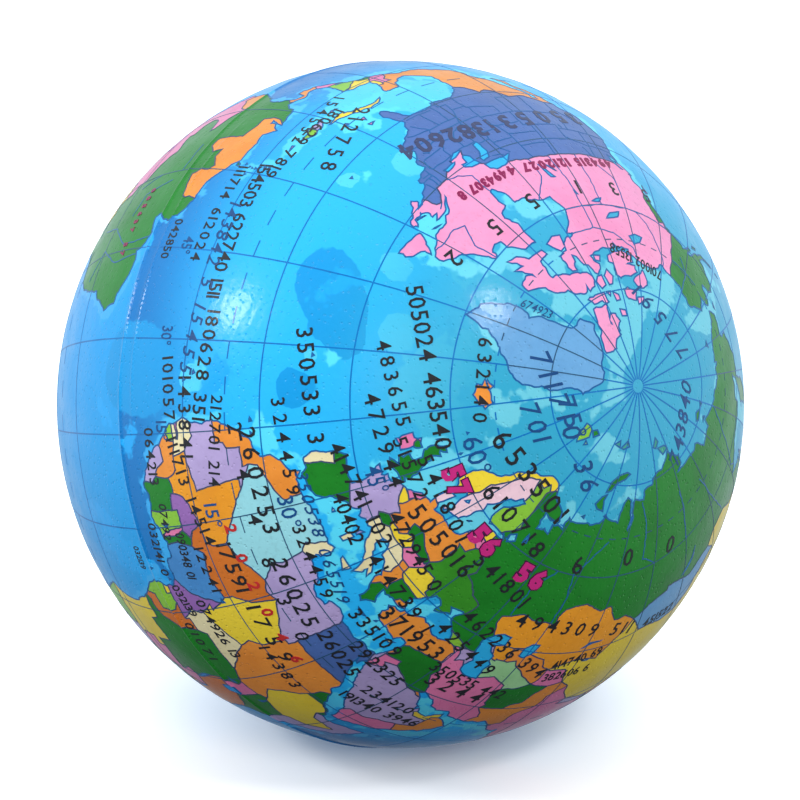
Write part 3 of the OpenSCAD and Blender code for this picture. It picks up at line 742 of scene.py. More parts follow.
BORDERS = """
-123.4,49 -118,49 -112,49 -106,49 -100,49 -95.2,49 -93,48.6 -90,48.1 -88.3,48.4 -84.6,46.4
-83.2,45.8 -82.4,42.9 -83.2,42 -81,42.2 -79,42.8 -79.2,43.5 -76.3,44.2 -74.8,45 -71.5,45
-70.4,46.3 -69.2,47.4 -67.9,47 -67.7,45.6 -66.8,44.5 / -141,70.2 -141,60.2 -139,60.2 -137.4,58.9
-135.2,59.7 -133.4,58.4 -131,56.4 -130,55.6 -130.4,54.4 / -117.6,32.5 -114.8,32.6 -111,31.3
-108.2,31.5 -106.5,31.8 -104.6,29.6 -103,29 -101.4,29.8 -99.5,27.5 -96.6,25.9 / -92.4,14.2
-91.8,15.8 -90.6,16.6 -91,17.8 -89.2,17.8 -88.9,18.4 -87.8,18.2 / -89.2,17.8 -89.2,15.9 -88.2,15.5
/ -90.4,13.5 -89.4,14.4 -88.2,15.9 / -89.4,14.4 -87.7,13.8 -87.6,12.6 / -87.3,13 -86,13.9
-84.8,14.8 -82.8,15.1 / -86,11.2 -84.6,11 -83.3,10.8 / -83.2,8.1 -82.8,9 -82.4,9.7 / -77.8,8.9
-77.4,8 -78.2,7.2 / -71.3,12.6 -72.6,10.8 -72.6,8.8 -72.2,7.2 -70,7 -67.6,6.2 -67.4,3.6 -67,1.2 /
-59.6,8.6 -60.8,7.2 -61.2,6 -60.7,5.2 / -57.2,6.4 -57.6,4.8 -58,3.8 -57.4,2.8 -56.6,1.9 / -54,6
-54.4,4.2 -54.2,3.2 -54.6,2.3 / -51.4,4.6 -52.8,2.5 -54.6,2.3 -56.6,1.9 -59,1.4 -59.8,2.4 -60,4.4
-60.7,5.2 -62.6,4 -64.4,4.2 -63.6,2.4 -65.4,0.8 -67,1.2 -67.4,2 -69.8,1.8 -69.8,-0.6 -69.4,-1.2
-70,-4.2 / -79.4,1.5 -77.6,0.9 -75.6,0 -74.6,-1 -73,-2.4 -70.2,-3.6 -70,-4.2 / -80.6,-3.3 -79.4,-5
-78.2,-3.6 -76.2,-2.4 -75.4,-1 -75.6,0 / -70,-4.2 -72.8,-5.2 -74,-7.4 -72.8,-9.4 -70.6,-9.8
-70.6,-11 -69.5,-11 / -69.5,-11 -66,-9.8 -65.3,-11.6 -62.4,-13.2 -60.2,-14 -60,-16.3 -58.2,-17.2
-57.8,-19.6 -58.2,-20.2 / -69.5,-11 -68.8,-13.4 -69.4,-15.6 -69.4,-17.6 -70.8,-18.4 / -69.4,-17.6
-68.4,-19.4 -68,-22.8 -66.2,-21.8 -62.8,-22 -62.2,-20.6 -58.2,-20.2 -57.8,-22.2 / -62.8,-22
-60,-24 -57.6,-25.4 -58.6,-27.3 -56,-27.3 -54.6,-25.6 -54.4,-24 -55.6,-22.4 -57.8,-22.2 /
-68,-22.8 -68.4,-27 -70,-31 -70,-35 -71.4,-39 -71.6,-44 -72.2,-49 -72.2,-51.8 -68.4,-52.4
-68.5,-55.4 / -54.6,-25.6 -54,-27.4 -57.6,-30.2 -58.2,-32.4 -58.4,-34.6 / -57.6,-30.2 -55.6,-30.8
-53.4,-33.8 / -71.8,17.8 -71.7,19.8 / -2,43.3 1.6,42.6 3.3,42.4 / -9,41.9 -6.6,41.8 -6.9,40.2
-7.2,38.4 -7.4,37 / 2.5,51.1 4.2,50 5.8,49.6 8.2,49 7.6,47.6 6.2,46.4 7,45.9 7,44.8 7.6,43.7 /
3.4,51.4 5.8,51.2 6.1,50.2 5.8,49.6 / 5.8,51.2 6.2,51.9 7,52.6 7.1,53.6 / 6.1,50.2 6.2,51.9 /
8.5,54.9 9.9,54.8 / 7.6,47.6 9.5,47.5 10.4,46.8 9,46 7,45.9 / 9.5,47.5 12.8,47.6 13.8,48.6 15,49 /
14.2,54 14.6,52.4 15,51 12.2,50.2 13.8,48.6 / 15,51 18.2,49.8 22.6,49.1 / 15,49 17,48.2 22.2,48.4
22.6,49.1 / 10.4,46.8 13.6,46.6 16.2,46.8 17,48.2 / 13.6,46.6 13.7,45.5 / 16.2,46.8 18.8,45.9
21,46.2 22.9,48 / 18.4,42.3 20,43.4 19.2,45 18.8,45.9 / 21,46.2 21.4,44.8 22.6,44.2 22.4,42.4
21,41 20,42.2 19.2,41.8 / 22.6,44.2 27,44 28.8,43.7 / 22.4,42.4 23,41.3 26.3,41.7 28.2,42 /
20,39.6 21,41 23,41.3 / 26.3,41.7 26,40.4 / 22.9,48 26.6,48.2 28.2,46.4 28.2,45.4 29.9,45.2 /
19,54.4 22.8,54.4 23.6,53.9 23.6,51.6 24,50.6 22.6,49.1 22.9,48 / 21,55.3 22.8,54.4 25.6,54.2
26.6,55.7 28.2,56.2 27.4,57.5 27.6,59.6 / 20.6,56.4 24.8,56.3 26.6,55.7 / 24.1,57.9 27.4,57.5 /
28.2,56.2 30.8,55.6 32.4,53.2 31.4,52.1 23.6,51.6 / 31.4,52.1 34.2,51.6 36.4,50.2 39.8,49.6
39.2,47.2 / 27.7,60.4 31.2,62.4 29.8,64.8 29,67 28.4,68.6 29,69.2 31,69.9 / 29,69.2 27,70 25.6,69
21,69.2 23.6,67.4 24.2,65.6 / 21,69.2 18,68.4 15.4,66.2 14,64.4 12.4,62.8 12.2,61 11.6,59.6
11.2,58.8 / 41.4,41.5 43.4,41.2 45,40 44.6,39.7 44.8,37.4 / 43.4,41.2 46.4,41.8 48.8,41.9 /
40,43.5 43.8,42.7 46.4,41.8 / 44.6,39.7 46.6,38.9 48,39.6 49,38.4 / 46.4,38.9 46,40.4 45,41.3 /
35.8,36 37,36.8 40,37 42.4,37.2 44.8,37.4 / 42.4,37.2 41.2,34.6 38.8,33.3 35.8,32.8 / 44.8,37.4
46,35.8 45.6,34 47.8,31.6 48.6,29.8 / 38.8,33.3 39.2,32.1 42,31.2 44.8,29.2 46.6,29.1 48.2,29.9 /
46.6,29.1 47.8,28.5 48.6,28.4 / 35.6,33.1 35.4,31.4 34.9,29.4 / 39.2,32.1 37,31.5 38,30.4 36,29.2
34.9,29.4 / 34.2,31.3 34.9,29.4 34.8,27.6 / 35.9,34.7 36.6,34.2 35.8,33.2 35,33.1 / 51.2,24.4
52,23.1 55.2,22.8 55.4,24.2 56.2,24.4 / 55.2,22.8 55,20 52,19 48.8,18.3 46.4,17.2 43.4,17.4
42.7,16.4 / 52,19 53.2,16.6 / 53.9,37.3 57,38.2 59.4,37.5 61.2,36.6 61.2,35.6 60.6,34 61,31.4
61.8,30.8 60.9,29.8 62.8,28.2 63.2,27 61.6,25 / 61.2,35.6 64.2,36 66.6,37.4 68.2,37 71.6,36.6
74.8,37.2 / 60.9,29.8 66.2,29.8 66.8,31.2 69.4,32 70,34 71.6,36.6 / 68,23.9 70.4,24.4 70.6,27.8
73.4,29.8 74.6,31.6 74.4,33 76,34.6 77.8,35.5 / 77.8,35.5 79,32.6 81.2,30.2 86,28 89,27.6 92,27.8
94,29.3 97.4,28.2 95.4,26.4 93.2,24.2 92.4,21 / 81.2,30.2 80.2,28.8 84,27.3 88.1,26.4 88.2,27.9 /
88.1,26.4 88.6,24.4 88.9,21.6 / 88.1,26.4 92,25.2 92.2,22.8 92.4,21 / 89,27.6 89,26.8 92,26.9
92,27.8 / 97.4,28.2 98.6,25.8 97.6,24 101.2,21.6 100.2,20.3 97.8,18.4 98.8,15 99.2,12 98.6,10 /
101.2,21.6 102.2,22.5 105.4,23.2 108,21.5 / 102.2,22.5 104.6,20.4 104.8,18.8 107,16.8 107.6,14.4
105.2,14.2 104.8,16.4 101.2,17.6 100.2,20.3 / 105.2,14.2 102.6,14 102.8,11.6 / 107.6,14.4 106,11
104.3,10.4 / 100,6.6 102.3,6 / 49,46 47,48.2 46.8,49.6 48.6,50.6 51.4,51.5 54.4,51 58.6,51
61.4,50.8 61,52.3 62,54 68,55.2 71,54.2 73.6,53.5 76.6,54.2 80,50.8 83.6,51 87.3,49.1 / 51.2,44.4
52.5,42 56,41.4 56,45 58.4,45.6 61,44.3 65.2,43.6 66.2,42 68.2,41.2 71,42.2 74,43.2 80.2,42.2 /
54,42 57,42 58.6,42.7 60.2,41.2 62.4,39.9 66.6,37.4 / 66.6,37.4 68,39 68.2,41.2 / 68,39 70.8,40.2
73.4,39.5 74.8,37.2 / 68.2,41.2 70.2,41 73,40.8 73.7,39.8 / 87.3,49.1 85.4,47.2 82.6,45.4
80.2,42.2 76,40.4 73.7,39.8 74.8,37.2 77.8,35.5 / 87.3,49.1 92,50.8 98.2,51.4 98.4,52.2 102.2,51.4
108,49.4 114,50.2 116.6,49.9 / 87.3,49.1 91,45.2 95.6,44.2 100,42.7 105,41.6 110,42.8 112,45
116,46.6 119.8,46.9 116.6,49.9 / 116.6,49.9 120,52.8 125.6,53 130.6,48.8 134.6,48.3 131.2,45
130.6,42.3 / 124.2,39.8 126.8,41.6 128.2,42 130.7,42.4 / 126.2,37.8 128.6,38.6 / -13.3,27.7
-8.7,27.7 -8.7,26 -12,26 -12,23.4 -13.1,22.8 -13.1,21.3 -17.2,21 / -8.7,27.7 -8.6,28.7 -3.6,30.9
-1.2,32.3 -1.8,35.4 / -8.7,27.3 -4.8,25 1.2,21.1 3.2,19.8 4.2,19.1 / -4.8,25 -6.6,24.9 -5.4,16.3
-9.4,15.4 -11.8,14.8 -12.2,14.8 -14.4,16.6 -16.8,16 / 8.5,37.2 8.2,34.6 7.6,33.2 9,32 9.4,30.2
9.8,28 9.4,26.2 12,23.5 / 9,32 11.4,33.4 / 12,23.5 7.4,20.8 4.2,19.1 4.2,16.4 3.4,15.3 1,15
-0.2,14.9 -2.6,14.2 -4.6,13 -5.4,11 -7.8,10.4 -9,12.3 -11.4,12.4 -12.2,14.8 / 12,23.5 14.2,22.6
16,23.4 24,19.5 24,20 25,20 25,22 25,32.3 / 25,22 31,22 37.2,22 / 16,23.4 15.4,18.6 13.6,15.6
13.4,13.8 / 24,19.5 23.8,15.6 22.2,13 22.8,11 / 3.6,11.7 5,13.7 9.6,12.9 13.4,13.8 14.2,12.8 /
3.6,11.7 1,13 0.2,14.9 / 3.6,11.7 2.8,9 2.8,6.2 / 1,13 2.2,12.2 0.9,11 1.6,9 1.6,6.1 / 0.9,11
0,11.1 -2.8,11 -2.8,9.6 -2.6,7.4 -3,5 / 0.2,11.1 0.6,8.4 1.2,6 / -2.8,9.6 -5.4,10.4 / -7.8,10.4
-8.2,7.6 -7.4,6.6 -7.6,4.3 / -8.2,7.6 -9.6,8.4 -11.4,6.9 / -9.6,8.4 -10.8,9.9 -12.6,9.6 -13.4,9 /
-13.8,12.6 -11.4,12.4 / -16.8,12.4 -13.8,12.6 -13.8,11.6 -15.2,10.9 / -16.8,13.2 -14,13.4 -14,13.6
-16.8,13.7 / 14.2,12.8 13,9.8 11.2,6.6 8.8,4.6 / 14.2,12.8 15.2,10 14.2,9.9 15.4,7.4 14.6,5
16.2,2.2 13.2,2.2 9.7,2.2 / 15.4,7.4 18.8,9 22.8,11 24.2,8.7 27.4,5.2 24.4,5 19.4,5.2 18.6,3.5
16.2,3.4 16.2,2.2 / 24.2,8.7 28,9.6 33,12.2 34.2,10.4 33.2,7.8 35.4,5.3 / 27.4,5.2 30.8,3.6 34,4.2
35.4,5.3 / 34.2,10.4 36,13 36.6,15 36.9,17 38.6,18.2 / 36.6,14.4 40,14.5 42.4,12.5 / 42.4,12.5
41.8,11 43.2,11.4 / 41.8,11 43,9 48,8 45,5 42,4.2 41,3.2 39,3.6 36,4.5 35.4,5.3 / 42,4.2 41,3.2
41,-1 41.8,-2 / 34,4.2 34.4,1 34,-1 37.6,-3 39.4,-4.8 / 30.8,3.6 31.2,2.2 29.6,-1 31,-1 34,-1 /
18.6,3.5 17.8,-0.6 16,-3.6 15,-4.4 12.8,-4.5 / 13.2,2.2 14.4,1.2 14.2,-2 11.4,-2.4 11.2,-4 / 9.4,1
11.3,1 11.3,2.2 / 12,-5.8 16.6,-6 17,-8 21.8,-7.2 22,-11 24,-11 24,-13 22,-13 22,-16.2 23.4,-17.6
14,-17.4 11.4,-17.2 / 24,-11 28.4,-12 29.8,-12.2 28.6,-9 30.8,-8.3 29.6,-4.4 29.4,-2.8 29.6,-1 /
30.8,-8.3 33,-9.4 34,-9.6 33,-12.4 33,-14 30.2,-15.6 30.4,-16 27,-17.9 25.2,-17.8 23.4,-17.6 /
34.4,-11.6 37,-11.6 40.6,-10.4 / 33,-14 34.6,-14.6 35.8,-16 35.2,-17 / 30.4,-16 32.8,-16.8
32.6,-20.6 31.2,-22.4 29.4,-22.2 25.4,-17.9 / 20,-17.8 21,-18.4 21,-22 20,-22 20,-28.4 16.4,-28.6
/ 20,-24.8 22.8,-25.4 25.6,-25.6 27,-23.6 29.4,-22.2 / 31.2,-22.4 32,-25.8 32.8,-26.8 / 27,-29.6
28.4,-28.6 29.4,-29.6 28,-30.6 27,-29.6 / 8.2,39.9 8.3,39.9 / 141,-2.3 141,-9.4 / 109.6,1.9 111,1
114.6,1.6 115.6,4 117.8,4.1 / -67.4,-54.6 -67.5,-52.4 / -7.4,54.1 -8,54.6 -7.2,55.3 / -5.8,54
-7.4,54.1
"""

PROVINCES = """
-114.1,49 -115.6,50.8 -120,53.8 -120,60 / -110,49 -110,60 / -101.4,49 -102,55.6 -102,60 / -95.2,49
-95.2,52.8 -89,56.9 / -79.5,51.6 -79.5,47.2 -77.2,45.8 -74.6,45.2 / -57.4,51.6 -60,52 -64.4,51.8
-67.2,52.8 -65.2,54.8 -63.8,56 -64.6,60.2 / -69.2,47.4 -67.4,48 / -63.8,46 -64.4,45.8 / -139,60
-130,60 -120,60 -110,60 -102,60 -94.8,60 / -124,60 -128.6,62 -132.4,65 -136.2,67.4 -136.4,69 /
-102,60 -102,64.2 -110,65.4 -119,67.6 -120.6,69.9 / -102,64.2 -92,64.2 / -124,46.2 -119,46 -117,46
-117,49 / -124.2,42 -117,42 -111,42 -111,45 -104,45 -104,49 / -120,42 -120,39 -114.7,35
-114.8,32.6 / -117,46 -117,42 / -114,42 -114,37 -114.6,35.4 / -117,46.2 -114.4,45.6 -111,44.6 /
-116,49 -114.4,46.8 / -111,42 -111,41 -109,41 -104,41 -102,41 / -109,41 -109,31.4 / -114,37
-103,37 -94.6,37 -94.6,33.6 / -104,45 -104,41 / -104,45.9 -96.6,45.9 / -104,43 -98.4,42.9
-96.4,42.5 / -97.2,49 -96.6,46 -96.4,42.5 -95.4,40 -94.6,39 -94.6,37 / -102,41 -102,37 / -102,40
-95.4,40 / -103,37 -103,32 -106.6,32 / -100,36.6 -100,34.6 -96,33.8 -94.2,33.5 -94,31 -93.8,29.8 /
-96.4,43.5 -91.2,43.5 -91.2,45.2 -92.6,46.6 / -94.6,40.6 -91.4,40.6 -91,42.5 -91.2,43.5 /
-91.4,40.6 -90.2,38.8 -89.2,37 -90,35 -91.2,33 -91.4,31 -89.7,31 -89.6,30.2 / -94.6,36.5
-89.5,36.5 -81.7,36.6 / -94.2,33 -91.2,33 / -91,42.5 -87.8,42.5 / -90.4,46.6 -88,45.8 / -87.5,41.7
-87.6,38 -89.2,37 / -84.8,41.7 -84.8,39.1 / -87.4,41.7 -83.4,41.7 / -88.2,35 -88.4,30.4 / -90.2,35
-85.6,35 -83,35 -81.8,36.6 / -85.6,35 -85,32 -85,30.8 -87.6,31 / -85,30.8 -82,30.5 / -83,35
-81,32.2 / -83,35 -79.6,34.6 -78.6,33.8 / -81.8,36.6 -75.8,36.5 / -89.2,37 -86,38 -84.8,39.1
-82.4,38.4 -81.8,37.4 -80.4,37.6 -77.8,39.2 -77,38.4 / -82.4,38.4 -80.6,40.4 -80.5,42 / -80.5,42
-75,42 -74.6,41.4 -75.4,39.8 / -80.5,39.7 -75.6,39.7 / -73.4,45 -73.4,42.6 -73.6,41.2 / -72.4,45
-72.4,42.7 / -73.4,42.7 -71,42.8 / -73.4,42 -71.6,42 / -71,45.2 -70.8,43.2 / -150,70.4 -150,66
-146,64 / -157,66 -150,66 -141,66 / 90,60 84,62 84,68 80,72 / 60,51 60,56 58,60 66,66 / 48,50.6
48,56 52,60 / 105,60 105,70 / 125,54 122,60 118,68 / 140,52 136,58 142,66 150,71 / -47,-1 -46,-8
-50,-14 -51,-20 / -58,-3 -56,-9 -52,-10 / -60,-8 -58,-13 / -44,-3 -43,-9 -46,-15 -41,-18 / -66,-2
-60,-2 / 129,-15 129,-31.6 / 138,-17 138,-26 141,-29 141,-38 / 129,-26 141,-26 / 149,-29 141,-29
"""

SEEDS = """
-100,56 pink -75,55 pink -64.5,45 pink -66,46.8 pink -72,68 pink -110,71 pink -120,73 pink
-98,72.5 pink -93,73 pink -86,75.2 pink -80,80 pink -91,80 pink -110,75.5 pink -100,76 pink
-95,75.1 pink -101,78.6 pink -119,76.6 pink -97,69.2 pink -84,64.6 pink -56,48.6 pink
-126,49.8 pink -132,53 pink  -98,40 violet -152,65 green -153.4,57.5 green
-167,53.6 green -170,63.5 green -102,24 orange -90.4,15.6 rose -88.6,17.2 yellow -88.9,13.8 green
-86.6,14.8 yellow -85,13 lime -84,10 rose -80.5,8.5 orange -79.8,21.8 yellow -72.8,18.9 lilac
-70.4,18.9 lime -77.2,18.1 orange -66.4,18.2 rose -61.4,10.5 green -78,24.6 rose -77.7,26.5 rose
-75.2,23.1 yellow -74,5 green -65.5,7 orange -58.8,5.5 orange -56,4.2 orange -53,4 green
-52,-8 green -78.6,-1.5 orange -75,-9.6 rose -64.6,-17 rose -58.4,-22.6 yellow -70.8,-30 yellow
-66,-34 orange -56,-32.6 lilac -42,70 ice -18.6,65 orange -1.4,52.6 green -8,53 rose
-6.8,54.7 green -4,40 green -8,39.6 cream 2.2,47 lilac 4.6,50.7 yellow 5.6,52.4 rose 10,51 orange
9.4,56 blush 8.2,46.8 green 14,47.4 yellow 13,43 cream 9,40 cream 14,37.6 cream 9.2,42.2 lilac
19,52.4 orange 15.4,50 green 19.6,47 rose 16.5,45 cream 17.4,43.9 cream 25,46 yellow 25,42.8 green
20.2,41.2 orange 21.8,39.6 green 24.8,35.2 green 27,41.4 orange 33,39 orange 33.4,35.2 yellow
24,55.3 orange 25,56.9 rose 26,58.8 yellow 28,53.6 moss 31,49.4 moss 15,60.6 blush 9,61 yellow
26.5,63.6 lime 12,55.5 blush 18.6,57.5 blush 16,78.6 lime 23,80 green 22.8,77.8 lime 50,80.9 teal
58,80.9 teal 55,71.5 green 62,75.8 green 95,80.3 teal 100,78.8 teal 141,75.3 green
148.5,75.1 green 142,73.6 green 180.4,71.2 green 80,62 green 43.8,42 lime 44.9,40.4 rose
47.6,40.6 lilac 38.4,35 green 43.6,33 green 36,31 rose 34.9,31.2 lilac 35.8,33.9 orange
44,25 lilac 47.6,29.2 orange 54.4,23.6 yellow 56.8,21 orange 47.4,15.8 rose 44,15.6 rose
 54,33 rose 66,34.4 green 69.4,29 orange 78,23 rose 80.7,7.6 green 84,28.2 lilac
90,24 green 90.4,27.3 orange 95.6,21 lilac 59.4,39.4 mint 63.6,41.4 orange 71,38.6 rose
74.4,41.4 yellow 66,48.6 gold 102,46.6 ice 105,34 yellow 127,40 green 127.6,36.6 green
101.4,15.8 green 102.6,19.6 rose 105,12.7 orange 106.6,21.6 cream 108.2,14 cream 102,4 rose
138,36.4 rose 142.8,43.2 rose 130.8,32.6 rose 133.5,33.7 rose 121,23.6 orange 143,50.4 green
109.8,19.2 yellow 121,16.8 orange 124.6,7.8 orange 123.4,11 orange 118.3,9.6 orange 113,-1 green
112.6,2.4 rose 101,0.6 green 110,-7.3 green 120.4,-2 green 120.6,-8.5 green 128,1 green
129.3,-3.2 green 137,-4 green 144,-6 orange 150.2,-5.6 orange 134,-24 orange 147,-42 orange
176,-38.6 green 170.4,-44.4 green 0,-80 ice 165.4,-21.3 lilac 178,-17.9 rose -6.4,32 orange
-13.4,24.4 orange -11,20 lilac -2,18 gold 2.4,28 aqua 9.6,34.6 cream 17,27 lilac 29,26.6 violet
9,17.4 amber 18.6,14.6 yellow 30,14.6 orange 39,8.6 yellow 39.6,15.2 green 48.6,8.8 lilac
20.6,6.8 cream 8,9.6 blue 12.6,6 purple 10.3,1.7 yellow 11.6,-0.6 lime 15.4,0.2 amber 23,-3 green
36.6,0.4 green 32.4,1.6 rose 35,-6.6 amber 17.6,-12.4 yellow 26,-14.4 rose 
 17,-21 lime 23.4,-22 lilac 29.6,-19 green 23,-31 amber 28.4,-29.4 yellow
46.6,-20 orange -14.4,14.6 cream -15.4,13.5 rose -14.8,12 lime -10.8,10.8 orange -11.8,8.4 lilac
-9.2,6.6 lilac -5.6,7.4 green -1.4,7.4 lime -1.6,12.4 purple 0.9,8 rose 2.2,9.6 green
-16.5,28.3 green -14,28.4 green -28.3,38.5 cream -25.4,37.7 cream -24.7,17 rose -23.5,15.1 rose
-64.7,32.2 rose 29.6,0 amber  -59.4,-51.8 rose -51.5,1 green -62,1 green -71,-1 green
24,2 green 38,-2 green 41.5,-1 lilac 14,-2.6 amber 11.6,-2 lime 11.6,0.8 lime 31.6,-0.6 rose
103,-2 green 114,0.6 green 120.4,0.6 green
"""

# Deep and shallow patches of the open sea: place, then size in degrees. Four are measured places.
BASINS = """
-40,40 5 -44,37 4 -33,43 3.5 40,85 1.6 120,84 1.2 -4,74 2.5 -25,3 8 -22,36 3
"""
BANKS = """
-50,47 2.4 -74,38 3 -90,26 6 -84,19 5 -64,32 1.4 -28,38 1.6 -20,57 5 -30,62 4 -8,62 4 0,56 4
-60,58 4 -35,50 3 -24,16 2.5
"""


# ---------------------------------------------------------------- figures

# Each row: its two ends, the height in millimetres, and how many digits or the number itself.
# The ends are measured places rounded to whole degrees, not places chosen by hand.
FIGURE_SCALE = 1.1
EDGE_SWELL = 0.05  # how much bolder the dark edge of an edged figure is
FIGURE_ROOT = 0.02 * MM  # how deep a figure stands in the film

FIGURES = {
    "land": """
-46,50 -4,57 1.3 14  -38,63 -10,63 1.1 7  -32,48 -12,52 1.1 7  -33,35 -11,38 1.3 8
-20,47 2,49 1.2 7  -20,32 -2,33 1.1 7  -15,26 4,27 1.4 7  -9,51 7,52 1.1 5
-3,54 22,54 1.2 7  -2,65 40,66 1.6 6  13,61 42,60 1.4 7  -21,21 -6,19 1 10
-16,24 25,22 1.2 6  4,32 19,31 1.1 7  9,26 23,25 1.4 5  25,26 36,24 1.3 5
4,17 13,17 1.4 5  16,17 28,16 1.4 4  24,14 34,13 1.1 5  4,12 12,12 1 5
13,7 25,7 1 9  17,1 25,1 1 5  10,3 16,4 0.9 6  1,9 9,8 0.9 9
-14,11 4,15 1.1 12  -16,6 -7,6 1 7  -1,3 8,2 0.9 8  -4,7 2,6 0.8 5
-24,14 -11,14 1.2 7  -27,10 -17,11 1.1 7  -35,18 -17,17 1.2 10  -62,15 -37,17 1.2 18
-61,11 -43,11 1 13  -78,18 -60,17 1.1 11  -80,21 -64,26 1.3 7  -81,15 -68,17 1 7
-50,4 -43,4 0.9 6  0,40 11,40 1.2 5  -10,41 14,44 1.2 10  9,50 31,51 1.4 6
8,47 29,46 1.2 8  15,41 36,40 1.2 8  27,37 43,37 1.4 6  24,33 37,33 1.2 6
30,29 43,28 1.2 6  40,23 51,23 1.1 7  39,19 55,20 1.1 11  46,32 59,31 1.4 4
44,35 63,33 1.1 10  37,42 55,38 1.2 7  29,54 49,52 1.3 7  39,46 67,39 1.2 10
51,49 87,46 1.3 10  69,41 81,43 1 9  69,38 80,39 1 8  92,45 103,43 1 7
57,60 98,60 1.5 3  -132,53 -104,55 1.3 3  -88,55 -57,53 1.4 3  -135,70 -107,67 0.9 12
3,-3 7,-3 0.7 6
""",
    "wide": "-120,35 -94,38 1.7 6  -93,38 -75,34 1.7 6",
    "sea": """
-6,35 21,33 1 13  -54,14 -39,15 1.2 8  -36,15 -25,14 1.2 5  -36,71 42,72 1.6 9
-13,70 5,71 1.5 3  108,74 160,78 1.4 6  -176,77 -120,74 1.4 5  -54,67 -56,72 0.7 6
""",
    "degree": """
-12,76 15,76 1.5 75°  -5,61 7,61 1.5 60°  -4,46 2,46 1.4 45°  -2,31 4,31 1.3 30°
-3,17 1,17 1.2 15°  -32,9 -29,9 1.1 30°  -17,9 -14,9 1.1 15°  -47,8 -44,8 1.1 45°
""",
    "magenta": "2,57 11,57 1.5 2  22,56 31,56 1.5 2  41,56 50,56 1.5 2",
    "red": "1,20 29,18 1 6",
    "crimson": "-121,49 -88,49 0.8 16  -87,49 -73,48 0.8 8  -57,-8 -44,-8 0.55 9",
}


def worked_out(lon: float, lat: float, count: int) -> str:
    """A row of plain figures that stand for nothing, grown from its place's whole degrees.

    Args:
        lon: Degrees east.
        lat: Degrees north.
        count: How many marks the row has.

    Returns:
        The row.
    """
    marks = ""
    for turn, angle in enumerate((abs(lat), abs(lon)) * 2):
        whole = int(angle)
        marks += f"{whole:02d}{(whole * 7 + turn * 13) % 60:02d}{(whole * 11 + count) % 60:02d} "
    return marks[:count].strip()


@dataclass(frozen=True)
class FigureStyle:
    """How one kind of printed figure looks."""

    code: str
    lift: float
    slant: float = 0.0
    bold: float = 0.0
    edge: str = ""


STYLES = {
    "land": FigureStyle("26282c", 0.024 * MM, bold=0.008),
    "wide": FigureStyle("3d4468", 0.024 * MM, bold=0.03),
    "sea": FigureStyle("1d4a80", 0.028 * MM, slant=0.24, bold=0.004),
    "degree": FigureStyle("1c4f88", 0.032 * MM, bold=0.004),
    "magenta": FigureStyle("c62a7c", 0.04 * MM, bold=0.06, edge="4a1740"),
    "red": FigureStyle("c4302f", 0.036 * MM, bold=0.03),
    "crimson": FigureStyle("8c1a52", 0.036 * MM, bold=0.06),
}


# ---------------------------------------------------------------- pieces


def finish_piece(bm: bmesh.types.BMesh, name: str,
                 material: bpy.types.Material) -> bpy.types.Object:
    """Turn a finished bmesh into a piece that rides on the ball.

    Args:
        bm: The closed mesh, freed here.
        name: The piece's name.
        material: Its finish.

    Returns:
        The new object.
    """
    mesh = bpy.data.meshes.new(name)
    bm.to_mesh(mesh)
    bm.free()
    piece = bpy.data.objects.new(name, mesh)
    bpy.context.scene.collection.objects.link(piece)
    mesh.materials.append(material)
    for face in mesh.polygons:
        face.use_smooth = True
    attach(piece, "root")
    log.info("%s: %d faces", name, len(mesh.polygons))
    return piece


def thicken(bm: bmesh.types.BMesh, depth: float) -> None:
    """Close an open sheet that lies on the ball by giving it a wall and an inner face.

    Args:
        bm: The sheet, facing outwards.
        depth: How far inwards the inner face lies.
    """
    outer = list(bm.faces)
    made = bmesh.ops.extrude_face_region(bm, geom=outer, use_keep_orig=True)
    inner = [g for g in made["geom"] if isinstance(g, bmesh.types.BMVert)]
    for vert in inner:
        vert.co -= vert.co.normalized() * depth
    new = [g for g in made["geom"] if isinstance(g, bmesh.types.BMFace)]
    bmesh.ops.reverse_faces(bm, faces=new)


def tile(chart: Chart, name: str, inks: set[str], material: bpy.types.Material) -> bpy.types.Object:
    """One ink's closed tile on one film.

    Args:
        chart: The cut film.
        name: The ink's name.
        inks: The ink, as a set of region inks.
        material: Its finish.

    Returns:
        The piece.
    """
    film = chart.film
    bm = bmesh.new()
    corner = {}
    for f, face in enumerate(chart.faces):
        if chart.ink[chart.region[f]] not in inks:
            continue
        for i in face:
            if i not in corner:
                way = film.pulled(*chart.points[i], chart.half)
                corner[i] = bm.verts.new(film.place(way))
        loop = [corner[i] for i in (face if chart.half is Half.NORTH else face[::-1])]
        bm.faces.new(loop)
    thicken(bm, film.thickness)
    piece = finish_piece(bm, f"{name}_{chart.half.word}", material)
    smooth_as_ball(piece, film)
    return piece


def smooth_as_ball(piece: bpy.types.Object, film: Film) -> None:
    """Give every outer corner the ball's own normal, so that abutting tiles shade as one skin.

    Args:
        piece: The tile or ink line.
        film: The film with the ridge.
    """
    mesh = piece.data
    known = {}
    normals = []
    for face in mesh.polygons:
        flat = face.normal
        facing = flat.dot(face.center.normalized())
        for loop in face.loop_indices:
            v = mesh.loops[loop].vertex_index
            if facing > 0.5:
                if v not in known:
                    co = mesh.vertices[v].co
                    way = Vector((co.dot(film.face), co.dot(film.side), co.dot(film.pole)))
                    known[v] = film.normal(way.normalized())
                normals.append(known[v])
            else:
                normals.append(flat)
    mesh.normals_split_custom_set(normals)


